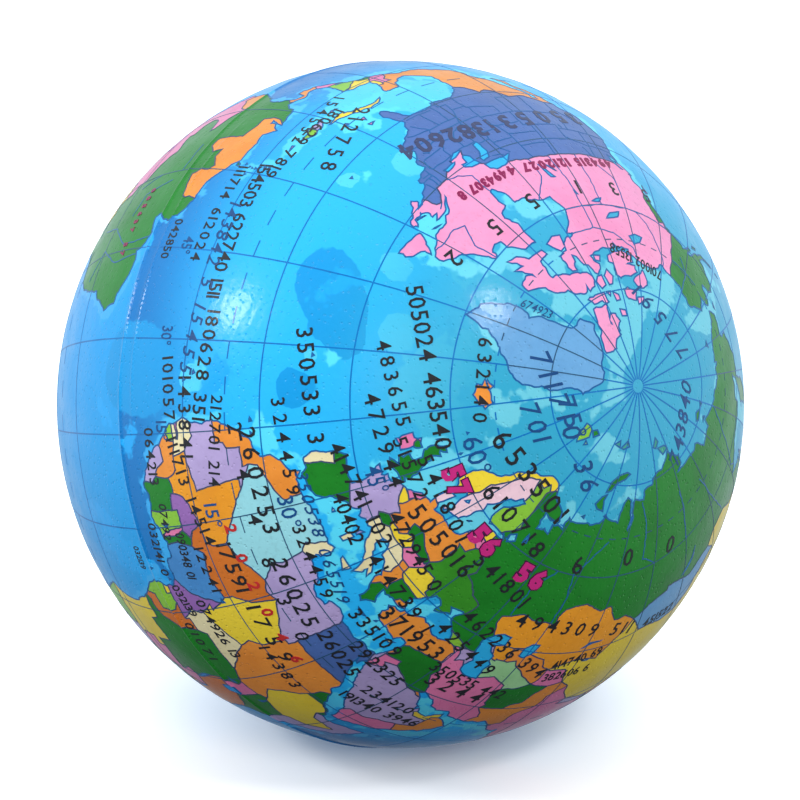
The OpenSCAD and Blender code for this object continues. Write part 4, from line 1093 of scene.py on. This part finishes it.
@dataclass
class Pen:
    """Draws a run of chart points as a thin closed ribbon of ink that stands on the film."""

    film: Film
    width: float
    lift: float
    bite: float = 0.03 * MM

    def stroke(self, bm: bmesh.types.BMesh, ways: list[Vector], closed: bool = False) -> None:
        """Add one ribbon to a bmesh.

        Args:
            bm: The sheet being drawn, thickened later.
            ways: Directions along the run, in the film's axes.
            closed: Whether the run meets its own start.
        """
        n = len(ways)
        if n < 2:
            return
        pairs = []
        for i, way in enumerate(ways):
            ahead = ways[(i + 1) % n] if closed else ways[min(i + 1, n - 1)]
            behind = ways[i - 1] if closed or i else ways[0]
            along = (ahead - behind)
            if along.length < 1e-9:
                along = way.orthogonal()
            across = way.cross(along).normalized()
            turn = 1.0
            if (closed or 0 < i < n - 1) and (ahead - way).length > 1e-9 < (way - behind).length:
                half_cos = math.sqrt(max(0.3, (1 + (ahead - way).normalized().dot(
                    (way - behind).normalized())) / 2))
                turn = min(1.6, 1 / half_cos)
            off = across * (self.width / 2 * turn / self.film.radius)
            pairs.append([bm.verts.new(self.film.place((way + off * s).normalized(), self.lift))
                          for s in (1, -1)])
        spans = zip(pairs, pairs[1:] + (pairs[:1] if closed else []))
        for (a, b), (c, d) in spans:
            bm.faces.new((a, b, d, c))

    def piece(self, name: str, half: Half, runs: list[tuple[list[Vector], bool]],
              material: bpy.types.Material) -> bpy.types.Object:
        """All runs of one ink on one film as one closed piece.

        Args:
            name: The piece's name.
            half: The film; not used.
            runs: Directions and whether each run is closed.
            material: Its finish.

        Returns:
            The piece.
        """
        bm = bmesh.new()
        for ways, closed in runs:
            self.stroke(bm, ways, closed)
        for face in bm.faces:
            face.normal_update()
            if face.normal.dot(face.calc_center_median()) < 0:
                face.normal_flip()
        thicken(bm, self.lift + self.bite)
        piece = finish_piece(bm, name, material)
        smooth_as_ball(piece, self.film)
        return piece


@dataclass
class Glyph:
    """One printed figure, flat, filled at a height of 0.7."""

    mark: str
    bold: float
    width: float = 0.0
    mesh: bpy.types.Mesh | None = None

    def __post_init__(self) -> None:
        """Fill the figure of the built-in typeface and start it at its left edge."""
        curve = bpy.data.curves.new("figure", "FONT")
        curve.body = self.mark
        curve.resolution_u = 2
        curve.offset = self.bold
        text = bpy.data.objects.new("figure", curve)
        bpy.context.scene.collection.objects.link(text)
        bpy.context.view_layer.update()
        raw = bpy.data.meshes.new_from_object(
            text.evaluated_get(bpy.context.evaluated_depsgraph_get()))
        bm = bmesh.new()
        bm.from_mesh(raw)
        bmesh.ops.remove_doubles(bm, verts=bm.verts, dist=1e-4)
        bmesh.ops.triangulate(bm, faces=bm.faces)
        left = min(v.co.x for v in bm.verts)
        self.width = max(v.co.x for v in bm.verts) - left
        for vert in bm.verts:
            vert.co.x -= left
        self.mesh = bpy.data.meshes.new(f"figure_{ord(self.mark)}")
        bm.to_mesh(self.mesh)
        bm.free()
        bpy.data.objects.remove(text)


@dataclass
class Typesetter:
    """Sets rows of figures along the ball's surface."""

    film: Film
    glyphs: dict[tuple[str, float], Glyph] = field(default_factory=dict)

    def glyph(self, mark: str, bold: float) -> Glyph:
        """The figure for a mark, made once."""
        if (mark, bold) not in self.glyphs:
            self.glyphs[mark, bold] = Glyph(mark, bold)
        return self.glyphs[mark, bold]

    def row(self, bm: bmesh.types.BMesh, text: str, start: Vector, end: Vector, height: float,
            style: FigureStyle, swell: float = 0.0) -> None:
        """Set a row of figures from one direction to another along a great circle.

        Args:
            bm: The sheet being set.
            text: The figures.
            start: Direction of the row's start.
            end: Direction of its end.
            height: Height of a figure, in metres.
            style: How the figures look.
            swell: Extra weight of each figure, for the dark edge under a bright one.
        """
        pole = start.cross(end).normalized()
        along = pole.cross(start).normalized()
        length = start.angle(end)
        scale = height / self.film.radius / 0.7
        plain = [0.28 * scale if m == " " else self.glyph(m, style.bold).width * scale
                 for m in text]
        narrow = min(1.0, 0.88 * length / sum(plain))
        gap = (length - sum(plain) * narrow) / max(1, len(text) - 1)
        lift = style.lift - (0.012 * MM if swell else 0)
        at = 0.0
        for mark, wide in zip(text, plain):
            if mark == " ":
                at += wide * narrow + gap
                continue
            made = self.glyph(mark, style.bold + swell).mesh
            corner = []
            for vert in made.vertices:
                x = at + ((vert.co.x - swell) * narrow + vert.co.y * style.slant) * scale
                way = start * math.cos(x) + along * math.sin(x)
                y = vert.co.y * scale
                way = (way * math.cos(y) + pole * math.sin(y)).normalized()
                corner.append(bm.verts.new(self.film.place(way, lift)))
            for face in made.polygons:
                bm.faces.new([corner[i] for i in face.vertices])
            at += wide * narrow + gap




# ---------------------------------------------------------------- finishes


DENSITY = 0.9  # the print's own darkening under bright studio light


def printed(code: str) -> tuple[float, float, float, float]:
    """A paint code as it comes out in print, slightly darker than the code."""
    return (*[c * DENSITY for c in linear(code)[:3]], 1.0)


@dataclass(frozen=True)
class PrintInk:
    """One printed colour under the soft pitted gloss of the moulded skin."""

    name: str
    code: str
    worn: str
    rough: float = 0.36

    def material(self) -> bpy.types.Material:
        """The ink as a material, with its mottle, pits and orange peel."""
        made = bpy.data.materials.new(f"ink_{self.name}")
        made.use_nodes = True
        tree = made.node_tree
        shader = next(n for n in tree.nodes if n.type == "BSDF_PRINCIPLED")
        spot = tree.nodes.new("ShaderNodeTexCoord")
        colour = self.colour(tree, spot)
        tree.links.new(colour, shader.inputs["Base Color"])
        skin_surface(tree, spot, shader, self.rough)
        return made

    def colour(self, tree: bpy.types.NodeTree, spot: bpy.types.Node) -> bpy.types.NodeSocket:
        """The printed colour, slightly uneven.

        Args:
            tree: The material's tree.
            spot: Its texture coordinates.

        Returns:
            The colour socket.
        """
        blotch = noise_node(tree, spot, 210, 4, 0.6)
        grain = noise_node(tree, spot, 2600, 2, 0.5)
        mixed = blend_node(tree, blotch, 0.42, 0.7, printed(self.code), printed(self.worn))
        deep = tuple(c * 0.82 for c in printed(self.code)[:3]) + (1.0,)
        return blend_node(tree, grain, 0.5, 0.95, mixed, deep)


def noise_node(tree: bpy.types.NodeTree, spot: bpy.types.Node, scale: float, detail: float,
               rough: float) -> bpy.types.NodeSocket:
    """A noise on Object coordinates.

    Args:
        tree: The material's tree.
        spot: Its texture coordinates.
        scale: Cells to a metre.
        detail: Octaves.
        rough: Weight of the small octaves.

    Returns:
        The noise's value.
    """
    node = tree.nodes.new("ShaderNodeTexNoise")
    node.inputs["Scale"].default_value = scale
    node.inputs["Detail"].default_value = detail
    node.inputs["Roughness"].default_value = rough
    tree.links.new(spot.outputs["Object"], node.inputs["Vector"])
    return node.outputs["Fac"]


def range_node(tree: bpy.types.NodeTree, value: bpy.types.NodeSocket, low: float, high: float,
               to_low: float, to_high: float) -> bpy.types.NodeSocket:
    """A value eased from one range to another.

    Args:
        tree: The material's tree.
        value: What is eased.
        low: Start of the range.
        high: End of the range.
        to_low: Result at the start.
        to_high: Result at the end.

    Returns:
        The eased value.
    """
    node = tree.nodes.new("ShaderNodeMapRange")
    node.interpolation_type = "SMOOTHSTEP"
    for name, number in (("From Min", low), ("From Max", high), ("To Min", to_low),
                         ("To Max", to_high)):
        node.inputs[name].default_value = number
    tree.links.new(value, node.inputs["Value"])
    return node.outputs["Result"]


def blend_node(tree: bpy.types.NodeTree, value: bpy.types.NodeSocket, low: float, high: float,
               one: object, two: object) -> bpy.types.NodeSocket:
    """Two colours blended as a value passes a range.

    Args:
        tree: The material's tree.
        value: What chooses between them.
        low: Value where the second colour starts.
        high: Value where it is full.
        one: First colour, or a socket.
        two: Second colour, or a socket.

    Returns:
        The blended colour.
    """
    node = tree.nodes.new("ShaderNodeMix")
    node.data_type = "RGBA"
    tree.links.new(range_node(tree, value, low, high, 0, 1), node.inputs[0])
    for socket, colour in ((node.inputs[6], one), (node.inputs[7], two)):
        if isinstance(colour, bpy.types.NodeSocket):
            tree.links.new(colour, socket)
        else:
            socket.default_value = colour
    return node.outputs[2]


PITS_A_METRE = 2000
PIT_DEPTH = 0.05 * MM
GLOSS = {"Specular IOR Level": 0.16, "Coat Weight": 0.3, "Coat Roughness": 0.16}


def skin_surface(tree: bpy.types.NodeTree, spot: bpy.types.Node, shader: bpy.types.Node,
                 rough: float) -> None:
    """The moulded skin's pits, orange peel and soft gloss, shared by all inks.

    Args:
        tree: The material's tree.
        spot: Its texture coordinates.
        shader: The Principled shader.
        rough: Mean roughness.
    """
    pits = tree.nodes.new("ShaderNodeTexVoronoi")
    pits.inputs["Scale"].default_value = PITS_A_METRE
    pits.inputs["Randomness"].default_value = 0.85
    tree.links.new(spot.outputs["Object"], pits.inputs["Vector"])
    pit = range_node(tree, pits.outputs["Distance"], 0.04, 0.27, 0, 1)
    peel = noise_node(tree, spot, 1500, 2, 0.5)
    total = tree.nodes.new("ShaderNodeMath")
    total.operation = "MULTIPLY_ADD"
    tree.links.new(pit, total.inputs[0])
    total.inputs[1].default_value = 0.9
    soft = tree.nodes.new("ShaderNodeMath")
    soft.operation = "MULTIPLY"
    soft.inputs[1].default_value = 0.5
    tree.links.new(peel, soft.inputs[0])
    tree.links.new(soft.outputs[0], total.inputs[2])
    bump = tree.nodes.new("ShaderNodeBump")
    bump.inputs["Strength"].default_value = 0.9
    bump.inputs["Distance"].default_value = PIT_DEPTH
    tree.links.new(total.outputs[0], bump.inputs["Height"])
    tree.links.new(bump.outputs["Normal"], shader.inputs["Normal"])
    tree.links.new(bump.outputs["Normal"], shader.inputs["Coat Normal"])
    smudge = noise_node(tree, spot, 320, 3, 0.5)
    tree.links.new(range_node(tree, smudge, 0.3, 0.7, rough - 0.05, rough + 0.08),
                   shader.inputs["Roughness"])
    for socket, amount in GLOSS.items():
        shader.inputs[socket].default_value = amount


@dataclass(frozen=True)
class SeaInk(PrintInk):
    """The sea: bright blue that turns turquoise to the pole, with paler shelves along the coasts."""

    polar: str = "35a6c8"
    deep: str = "0878c2"
    shelf: str = "58dbf8"
    polar_shelf: str = "6cc8da"
    basin: str = "149ade"
    south: str = "18a2ea"
    low_shelf: str = "3aaef0"
    bank: str = "4fcff8"
    pole: tuple[float, float, float] = (0, 0, 1)

    def colour(self, tree: bpy.types.NodeTree, spot: bpy.types.Node) -> bpy.types.NodeSocket:
        """The sea's colour from latitude, distance to the coast and two sizes of noise."""
        dot = tree.nodes.new("ShaderNodeVectorMath")
        dot.operation = "DOT_PRODUCT"
        dot.inputs[1].default_value = self.pole
        tree.links.new(spot.outputs["Object"], dot.inputs[0])
        height = dot.outputs["Value"]
        radius = Film.radius
        open_sea = blend_node(tree, height, 0.02 * radius, 0.42 * radius, printed(self.deep),
                              printed(self.code))
        open_sea = blend_node(tree, height, -0.003 * radius, 0.003 * radius,
                              printed(self.south), open_sea)
        depth = tree.nodes.new("ShaderNodeAttribute")
        depth.attribute_name = "depth"
        edge = noise_node(tree, spot, 150, 4, 0.6)
        both = tree.nodes.new("ShaderNodeMath")
        both.operation = "ADD"
        tree.links.new(depth.outputs["Fac"], both.inputs[0])
        tree.links.new(edge, both.inputs[1])
        open_sea = blend_node(tree, both.outputs[0], 0.86, 0.92, open_sea, printed(self.basin))
        open_sea = blend_node(tree, both.outputs[0], 0.14, 0.2, printed(self.bank), open_sea)
        open_sea = blend_node(tree, edge, 0.36, 0.40, printed(self.worn), open_sea)
        open_sea = blend_node(tree, height, 0.5 * radius, 0.93 * radius, open_sea,
                              printed(self.polar))
        pale = blend_node(tree, height, 0.08 * radius, 0.42 * radius, printed(self.low_shelf),
                          printed(self.shelf))
        pale = blend_node(tree, height, 0.6 * radius, 0.95 * radius, pale,
                          printed(self.polar_shelf))
        near = tree.nodes.new("ShaderNodeAttribute")
        near.attribute_name = "shelf"
        ragged = noise_node(tree, spot, 330, 3, 0.55)
        total = tree.nodes.new("ShaderNodeMath")
        total.operation = "ADD"
        tree.links.new(near.outputs["Fac"], total.inputs[0])
        tree.links.new(ragged, total.inputs[1])
        return blend_node(tree, total.outputs[0], 0.93, 1.0, open_sea, pale)


@dataclass(frozen=True)
class CoreFoam:
    """Open foam of the core: pale, matt and full of small cells."""

    name: str = "core_foam"
    code: str = "e9dfc4"
    # darker colour painted into the cell hollows as shade
    cell: str = "b9a97f"

    def material(self) -> bpy.types.Material:
        """The foam as a material."""
        made = bpy.data.materials.new(self.name)
        made.use_nodes = True
        tree = made.node_tree
        shader = next(n for n in tree.nodes if n.type == "BSDF_PRINCIPLED")
        spot = tree.nodes.new("ShaderNodeTexCoord")
        cells = tree.nodes.new("ShaderNodeTexVoronoi")
        cells.inputs["Scale"].default_value = 1400
        tree.links.new(spot.outputs["Object"], cells.inputs["Vector"])
        # painted shade: the foam is darker towards the bottom of each cell hollow, where the bump is lowest
        tree.links.new(blend_node(tree, cells.outputs["Distance"], 0.1, 0.7, linear(self.cell),
                                  linear(self.code)), shader.inputs["Base Color"])
        bump = tree.nodes.new("ShaderNodeBump")
        bump.inputs["Strength"].default_value = 0.8
        bump.inputs["Distance"].default_value = 0.3 * MM
        tree.links.new(cells.outputs["Distance"], bump.inputs["Height"])
        tree.links.new(bump.outputs["Normal"], shader.inputs["Normal"])
        tree.links.new(range_node(tree, cells.outputs["Distance"], 0, 1, 0.95, 0.8),
                       shader.inputs["Roughness"])
        return made


INKS = {
    "pink": ("f29ac4", "ee8fbb"), "violet": ("4f70b2", "4a69a8"), "green": ("1f8226", "1b7722"),
    "orange": ("f0963c", "e58a33"), "rose": ("ea7fae", "df73a3"), "yellow": ("f5d83c", "efcf35"),
    "lime": ("8cc63e", "80ba38"), "lilac": ("b9a7d6", "ac9acb"), "cream": ("efe3b4", "e8daa6"),
    "ice": ("6ba6d6", "639dce"), "teal": ("3f9f86", "37947c"), "aqua": ("9adbe4", "8dd2dd"),
    "blush": ("f3cdd8", "ecc2cf"), "mint": ("a4d99c", "98cf90"), "gold": ("f2a02a", "e99626"),
    "moss": ("3c9428", "358a24"),
    "amber": ("d9772b", "cf6c24"), "blue": ("4a90d0", "4286c6"), "purple": ("9a6cb4", "8f60aa"),
}


# ---------------------------------------------------------------- the ball


@dataclass
class FoamCore:
    """The foam ball under the skin."""

    radius: float = 30.15 * MM
    cell: float = 0.12 * MM

    def build(self) -> bpy.types.Object:
        """A closed ball with the small hollows of open foam.

        Returns:
            The core piece.
        """
        bm = bmesh.new()
        bmesh.ops.create_icosphere(bm, subdivisions=6, radius=self.radius)
        for vert in bm.verts:
            dip = abs(noise.noise(vert.co * 900)) + 0.5 * abs(noise.noise(vert.co * 2100))
            vert.co *= 1 - dip * self.cell / self.radius
        piece = finish_piece(bm, "foam_core_cells", CoreFoam().material())
        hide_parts("foam_core")
        return piece


@dataclass
class MouldedSkin:
    """The closed skin between the foam and the printed films, with its parting bead."""

    film: Film
    outer: float = 31.35 * MM
    inner: float = 30.17 * MM
    bead: float = 0.05 * MM

    def build(self) -> bpy.types.Object:
        """The skin as a half outline turned about the pole.

        Returns:
            The skin piece.
        """
        bm = bmesh.new()
        steps = 96
        outline = []
        for i in range(steps + 1):
            a = -QUARTER + math.pi * i / steps
            bead = self.bead * math.exp(-((a * self.outer / (0.4 * MM)) ** 2))
            r = self.outer + bead
            outline.append(self.film.face * (r * math.cos(a)) + self.film.pole * (r * math.sin(a)))
        for i in range(steps + 1):
            a = QUARTER - math.pi * i / steps
            outline.append(self.film.face * (self.inner * math.cos(a))
                           + self.film.pole * (self.inner * math.sin(a)))
        verts = [bm.verts.new(p) for p in outline]
        edges = [bm.edges.new((verts[i], verts[i + 1])) for i in range(len(verts) - 1)
                 if i != steps]
        bmesh.ops.spin(bm, geom=[*verts, *edges], cent=(0, 0, 0), axis=self.film.pole,
                       angle=2 * math.pi, steps=144, use_merge=True)
        bmesh.ops.remove_doubles(bm, verts=bm.verts, dist=1e-6)
        bmesh.ops.recalc_face_normals(bm, faces=bm.faces)
        ink = PrintInk("skin", "2a8fc4", "2484b8", 0.4)
        piece = finish_piece(bm, "moulded_skin_shell", ink.material())
        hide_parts("moulded_skin")
        return piece


COAST_STEP = 0.011
BORDER_STEP = 0.014
WOBBLE = {"coast": 0.013, "islet": 0.002, "lake": 0.005, "border": 0.007, "province": 0.006}
ISLET_LIST = 60  # a shorter list of places is an islet's
NET_STEP = 15  # degrees between meridians, and between parallels


@dataclass
class PrintedMap:
    """Both printed films: tiles, coasts, borders, the net of meridians and the figures."""

    film: Film
    charts: dict[Half, Chart] = field(default_factory=dict)
    coasts: list[Line] = field(default_factory=list)
    waters: list[Line] = field(default_factory=list)

    def chart(self) -> None:
        """Draw every line and cut both films along them."""
        film = self.film
        mains = {"americas": AMERICAS, "eurasia": EURASIA, **ISLANDS}
        for text in mains.values():
            kind = "islet" if len(text) < ISLET_LIST else "coast"
            self.coasts.append(drawn(film, places(text), Rule.COAST, WOBBLE[kind], COAST_STEP,
                                     True))
        self.waters = [drawn(film, places(t), Rule.COAST, WOBBLE["lake"], COAST_STEP, True)
                       for t in LAKES.values()]
        borders = [drawn(film, places(t), Rule.BORDER, WOBBLE["border"], BORDER_STEP)
                   for t in BORDERS.split("/")]
        joined(borders, [*self.coasts, *self.waters])
        provinces = [drawn(film, places(t), Rule.PROVINCE, WOBBLE["province"], BORDER_STEP)
                     for t in PROVINCES.split("/")]
        seeds = []
        words = SEEDS.split()
        for spot, ink in zip(words[::2], words[1::2]):
            seeds.append((*places(spot)[0], ink))
        for half in Half:
            chart = Chart(film, half)
            chart.cut([*self.coasts, *self.waters, *borders, *provinces])
            chart.flood(self.coasts, self.waters, seeds)
            self.charts[half] = chart
            log.info("%s film: %d triangles, %d regions", half.word, len(chart.faces),
                     len(chart.ink))

    def tiles(self) -> None:
        """Build one closed tile for each ink on each film."""
        pole = tuple(self.film.pole)
        sea = SeaInk("sea", "28b8fa", "1ba8f2", 0.36, pole=pole).material()
        dressed = {name: PrintInk(name, *codes).material() for name, codes in INKS.items()}
        dressed["sea"] = sea
        spots = [s for line in self.coasts for s in line.spots]
        shore = KDTree(len(spots))
        for n, spot in enumerate(spots):
            shore.insert(spot, n)
        shore.balance()
        for half, chart in self.charts.items():
            for ink in sorted(set(chart.ink.values())):
                piece = tile(chart, ink, {ink}, dressed[ink])
                if ink == "sea":
                    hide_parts(f"map_film_{half.word}")
                    self.shelve(piece, shore, half)

    def shelve(self, piece: bpy.types.Object, shore: KDTree, half: Half) -> None:
        """Write how near each point of the sea is to a coast.

        Args:
            piece: The sea tile.
            shore: Every coast point, on the unstretched globe.
            half: The film.
        """
        film = self.film
        near = piece.data.attributes.new("shelf", "FLOAT", "POINT")
        depth = piece.data.attributes.new("depth", "FLOAT", "POINT")
        pools = []
        for text, sign in ((BASINS, 1.0), (BANKS, -1.0)):
            words = text.split()
            for spot, size in zip(words[::2], words[1::2]):
                at = film.spot(*places(spot)[0])
                way = film.pulled(*film.flat(at, half), half)
                pools.append((way, math.radians(float(size)), sign))
        for i, vert in enumerate(piece.data.vertices):
            way = Vector((vert.co.dot(film.face), vert.co.dot(film.side), vert.co.dot(film.pole)))
            way.normalize()
            gap = shore.find(way)[2]
            near.data[i].value = 0.62 * math.exp(-gap / 0.055)
            depth.data[i].value = sum(
                sign * math.exp(-((way - at).length / size) ** 2) for at, size, sign in pools)

    def lines(self) -> None:
        """Draw coasts, borders, province lines and the net as ribbons of ink."""
        film = self.film
        line_ink = PrintInk("line", "1f5f9e", "27689f", 0.4).material()
        border_ink = PrintInk("border", "3a4a6e", "47506a", 0.4).material()
        net_inks = (PrintInk("net", "0f76be", "0f6eb4", 0.4).material(),
                    PrintInk("net_on_land", "2c5678", "2f5170", 0.4).material())
        jobs = ((Rule.COAST, Pen(film, 0.14 * MM, 0.018 * MM), line_ink, "coast_line"),
                (Rule.BORDER, Pen(film, 0.13 * MM, 0.018 * MM), border_ink, "border_line"),
                (Rule.PROVINCE, Pen(film, 0.11 * MM, 0.017 * MM), line_ink, "province_line"))
        for half, chart in self.charts.items():
            for rule, pen, ink, name in jobs:
                runs = []
                for run in chart.kept(rule):
                    closed = len(run) > 3 and run[0] == run[-1]
                    ways = [film.pulled(*p, half) for p in (run[:-1] if closed else run)]
                    runs.append((ways, closed))
                if runs:
                    pen.piece(f"{name}_{half.word}", half, runs, ink)
            self.net(half, net_inks)

    def figures(self) -> None:
        """Set every row of figures on both films."""
        setter = Typesetter(self.film)
        for name, style in STYLES.items():
            words = FIGURES[name].split()
            rows = list(zip(words[::4], words[1::4], words[2::4], words[3::4]))
            for half in Half:
                for layer in ("edge", "face") if style.edge else ("face",):
                    bm = bmesh.new()
                    for start, end, height, what in rows:
                        ends = [*places(start), *places(end)]
                        if half.value * ends[0][1] < 0:
                            continue
                        text = what if "°" in what else worked_out(*ends[0], int(what))
                        ways = [self.film.pulled(*self.film.flat(self.film.spot(*e), half), half)
                                for e in ends]
                        setter.row(bm, text, *ways, float(height) * FIGURE_SCALE * MM, style,
                                   EDGE_SWELL if layer == "edge" else 0.0)
                    if not bm.faces:
                        bm.free()
                        continue
                    thicken(bm, style.lift + FIGURE_ROOT)
                    code = style.edge if layer == "edge" else style.code
                    ink = PrintInk(f"figure_{name}_{layer}", code, code, 0.42).material()
                    piece = finish_piece(bm, f"figures_{name}_{layer}_{half.word}",
                                         ink)
                    smooth_as_ball(piece, self.film)

    def net(self, half: Half, inks: tuple[bpy.types.Material, bpy.types.Material]) -> None:
        """The net of meridians and parallels, with the dashed tropic and polar circle.

        Args:
            half: The film.
            inks: The net's ink on the sea and on land.
        """
        film, chart = self.film, self.charts[half]
        runs = []
        for lon in range(0, 360, NET_STEP):
            stops = [0.02, 0.3, 0.6, 1, 1.5] + [2 + k for k in range(88)]
            runs.append([(lon, s) for s in stops])
        for lat in range(NET_STEP, 90, NET_STEP):
            runs.append([(2 * i, lat) for i in range(181)])
        for lat in (23.5, 66.5):
            runs += [[(6 * i + k, lat) for k in (0, 1, 2, 3)] for i in range(60)]
        pieces = {True: [], False: []}
        for run in runs:
            flat = [film.flat(film.spot(lon, half.value * lat), half) for lon, lat in run]
            part, was = [], None
            for p, q in zip(flat, flat[1:]):
                dry = chart.dry((p[0] + q[0]) / 2, (p[1] + q[1]) / 2)
                if dry is not was:
                    part = [film.pulled(*p, half)]
                    pieces[dry].append((part, False))
                part.append(film.pulled(*q, half))
                was = dry
        for dry, word, width, ink in ((False, "sea", 0.125, inks[0]), (True, "land", 0.1, inks[1])):
            if pieces[dry]:
                pen = Pen(film, width * MM, 0.011 * MM)
                pen.piece(f"net_{word}_{half.word}", half, pieces[dry], ink)


@dataclass(frozen=True)
class SoftBox:
    """One round soft box that looks at the ball."""

    name: str
    way: tuple[float, float, float]
    away: float
    size: float
    power: float
    glint: bool = True

    def hang(self) -> None:
        """Hang the lamp; one without a glint lights the ball but is not mirrored in its gloss."""
        light = bpy.data.lights.new(self.name, "AREA")
        light.shape = "DISK"
        light.size = self.size
        light.energy = self.power
        lamp = bpy.data.objects.new(self.name, light)
        lamp.location = Vector(self.way).normalized() * self.away
        lamp.rotation_euler = (-Vector(self.way)).to_track_quat("-Z", "Y").to_euler()
        lamp.visible_glossy = self.glint
        bpy.context.scene.collection.objects.link(lamp)


SOFT_BOXES = (
    SoftBox("left_box", (-0.763, -0.343, 0.547), 0.42, 0.075, 0.46),
    SoftBox("right_box", (0.461, -0.591, 0.662), 0.42, 0.06, 0.35),
    SoftBox("front_fill", (0.05, -0.86, 0.42), 0.9, 0.5, 5.4, glint=False),
    SoftBox("left_wing", (-1, -0.25, 0.05), 0.9, 0.4, 1.7, glint=False),
    SoftBox("right_wing", (1, -0.25, 0.05), 0.9, 0.4, 1.2, glint=False),
)


@dataclass
class Studio:
    """A pale sweep, the soft boxes and the camera."""

    distance: float = 252 * MM
    lens: float = 122.8
    shift: tuple[float, float] = (-0.0006, 0.0056)
    floor_size: float = 3.0
    # painted light: the floor's emission near the ball and far from it; the dim part by the ball is a painted
    # contact shadow, the bright part a painted glow
    glow: tuple[float, float] = (0.03, 0.6)
    glow_reach: float = 55 * MM
    front_sky: tuple[float, ...] = (0.14, 0.16, 0.19, 1)
    back_sky: tuple[float, ...] = (0.9, 1.03, 1.12, 1)
    low_sky: tuple[float, ...] = (0.06, 0.07, 0.1, 1)

    def build(self) -> None:
        """Make the floor, sky, lights and camera."""
        self.floor()
        self.sky()
        for box in SOFT_BOXES:
            box.hang()
        self.aim_camera()
        bpy.context.scene.view_settings.view_transform = "Standard"

    def floor(self) -> None:
        """A flat sheet of paper under the ball, hidden from the ball's own light."""
        bm = bmesh.new()
        bmesh.ops.create_grid(bm, x_segments=8, y_segments=8, size=self.floor_size)
        for vert in bm.verts:
            vert.co.z = CAD_BOX[0].z
        mesh = bpy.data.meshes.new("floor")
        bm.to_mesh(mesh)
        bm.free()
        mesh.materials.append(self.paper())
        sheet = bpy.data.objects.new("floor", mesh)
        bpy.context.scene.collection.objects.link(sheet)
        sheet.visible_glossy = False
        sheet.visible_diffuse = False

    def paper(self) -> bpy.types.Material:
        """White paper whose painted glow grows the further it is from the ball, so that it is darker near the
        ball as a painted contact shadow.
        """
        paper = bpy.data.materials.new("paper")
        paper.use_nodes = True
        tree = paper.node_tree
        shader = next(n for n in tree.nodes if n.type == "BSDF_PRINCIPLED")
        shader.inputs["Base Color"].default_value = (0.96, 0.96, 0.96, 1)
        shader.inputs["Emission Color"].default_value = (1, 1, 1, 1)
        spot = tree.nodes.new("ShaderNodeTexCoord")
        flat = tree.nodes.new("ShaderNodeVectorMath")
        flat.operation = "MULTIPLY"
        flat.inputs[1].default_value = (1, 1, 0)
        away = tree.nodes.new("ShaderNodeVectorMath")
        away.operation = "LENGTH"
        tree.links.new(spot.outputs["Object"], flat.inputs[0])
        tree.links.new(flat.outputs[0], away.inputs[0])
        # painted shadow and glow: the paper's emission rises with distance from the ball
        tree.links.new(range_node(tree, away.outputs["Value"], 0.0, self.glow_reach, *self.glow),
                       shader.inputs["Emission Strength"])
        shader.inputs["Roughness"].default_value = 0.9
        shader.inputs["Specular IOR Level"].default_value = 0.1
        return paper

    def sky(self) -> None:
        """A soft studio sky: bright behind the ball, dim in front of it and darker below."""
        world = bpy.data.worlds.new("studio")
        bpy.context.scene.world = world
        world.use_nodes = True
        tree = world.node_tree
        sky = next(n for n in tree.nodes if n.type == "BACKGROUND")
        way = tree.nodes.new("ShaderNodeTexCoord")
        split = tree.nodes.new("ShaderNodeSeparateXYZ")
        tree.links.new(way.outputs["Object"], split.inputs[0])
        back = blend_node(tree, split.outputs["Y"], -0.75, 0.1, self.front_sky, self.back_sky)
        whole = blend_node(tree, split.outputs["Z"], -0.85, -0.1, self.low_sky, back)
        tree.links.new(whole, sky.inputs["Color"])
        sky.inputs["Strength"].default_value = 1.0

    def aim_camera(self) -> None:
        """Camera eight ball radii away, looking down at the ball's middle."""
        tilt = math.radians(VIEW_TILT)
        back = Vector((0, -math.cos(tilt), math.sin(tilt)))
        camera = bpy.data.cameras.new("camera")
        camera.lens = self.lens
        camera.sensor_width = 36
        camera.clip_start = 0.01
        camera.shift_x, camera.shift_y = self.shift
        seat = bpy.data.objects.new("camera", camera)
        seat.location = back * self.distance
        seat.rotation_euler = (-back).to_track_quat("-Z", "Y").to_euler()
        bpy.context.scene.collection.objects.link(seat)
        bpy.context.scene.camera = seat


def main() -> None:
    """Build the ball's pieces in order, then the studio."""
    logging.basicConfig(level=logging.INFO, format="%(name)s: %(message)s")
    noise.seed_set(7)  # the same coasts on every run
    film = Film()
    FoamCore().build()
    MouldedSkin(film).build()
    printed = PrintedMap(film)
    printed.chart()
    printed.tiles()
    printed.lines()
    printed.figures()
    Studio().build()


if __name__ == "__main__":
    main()
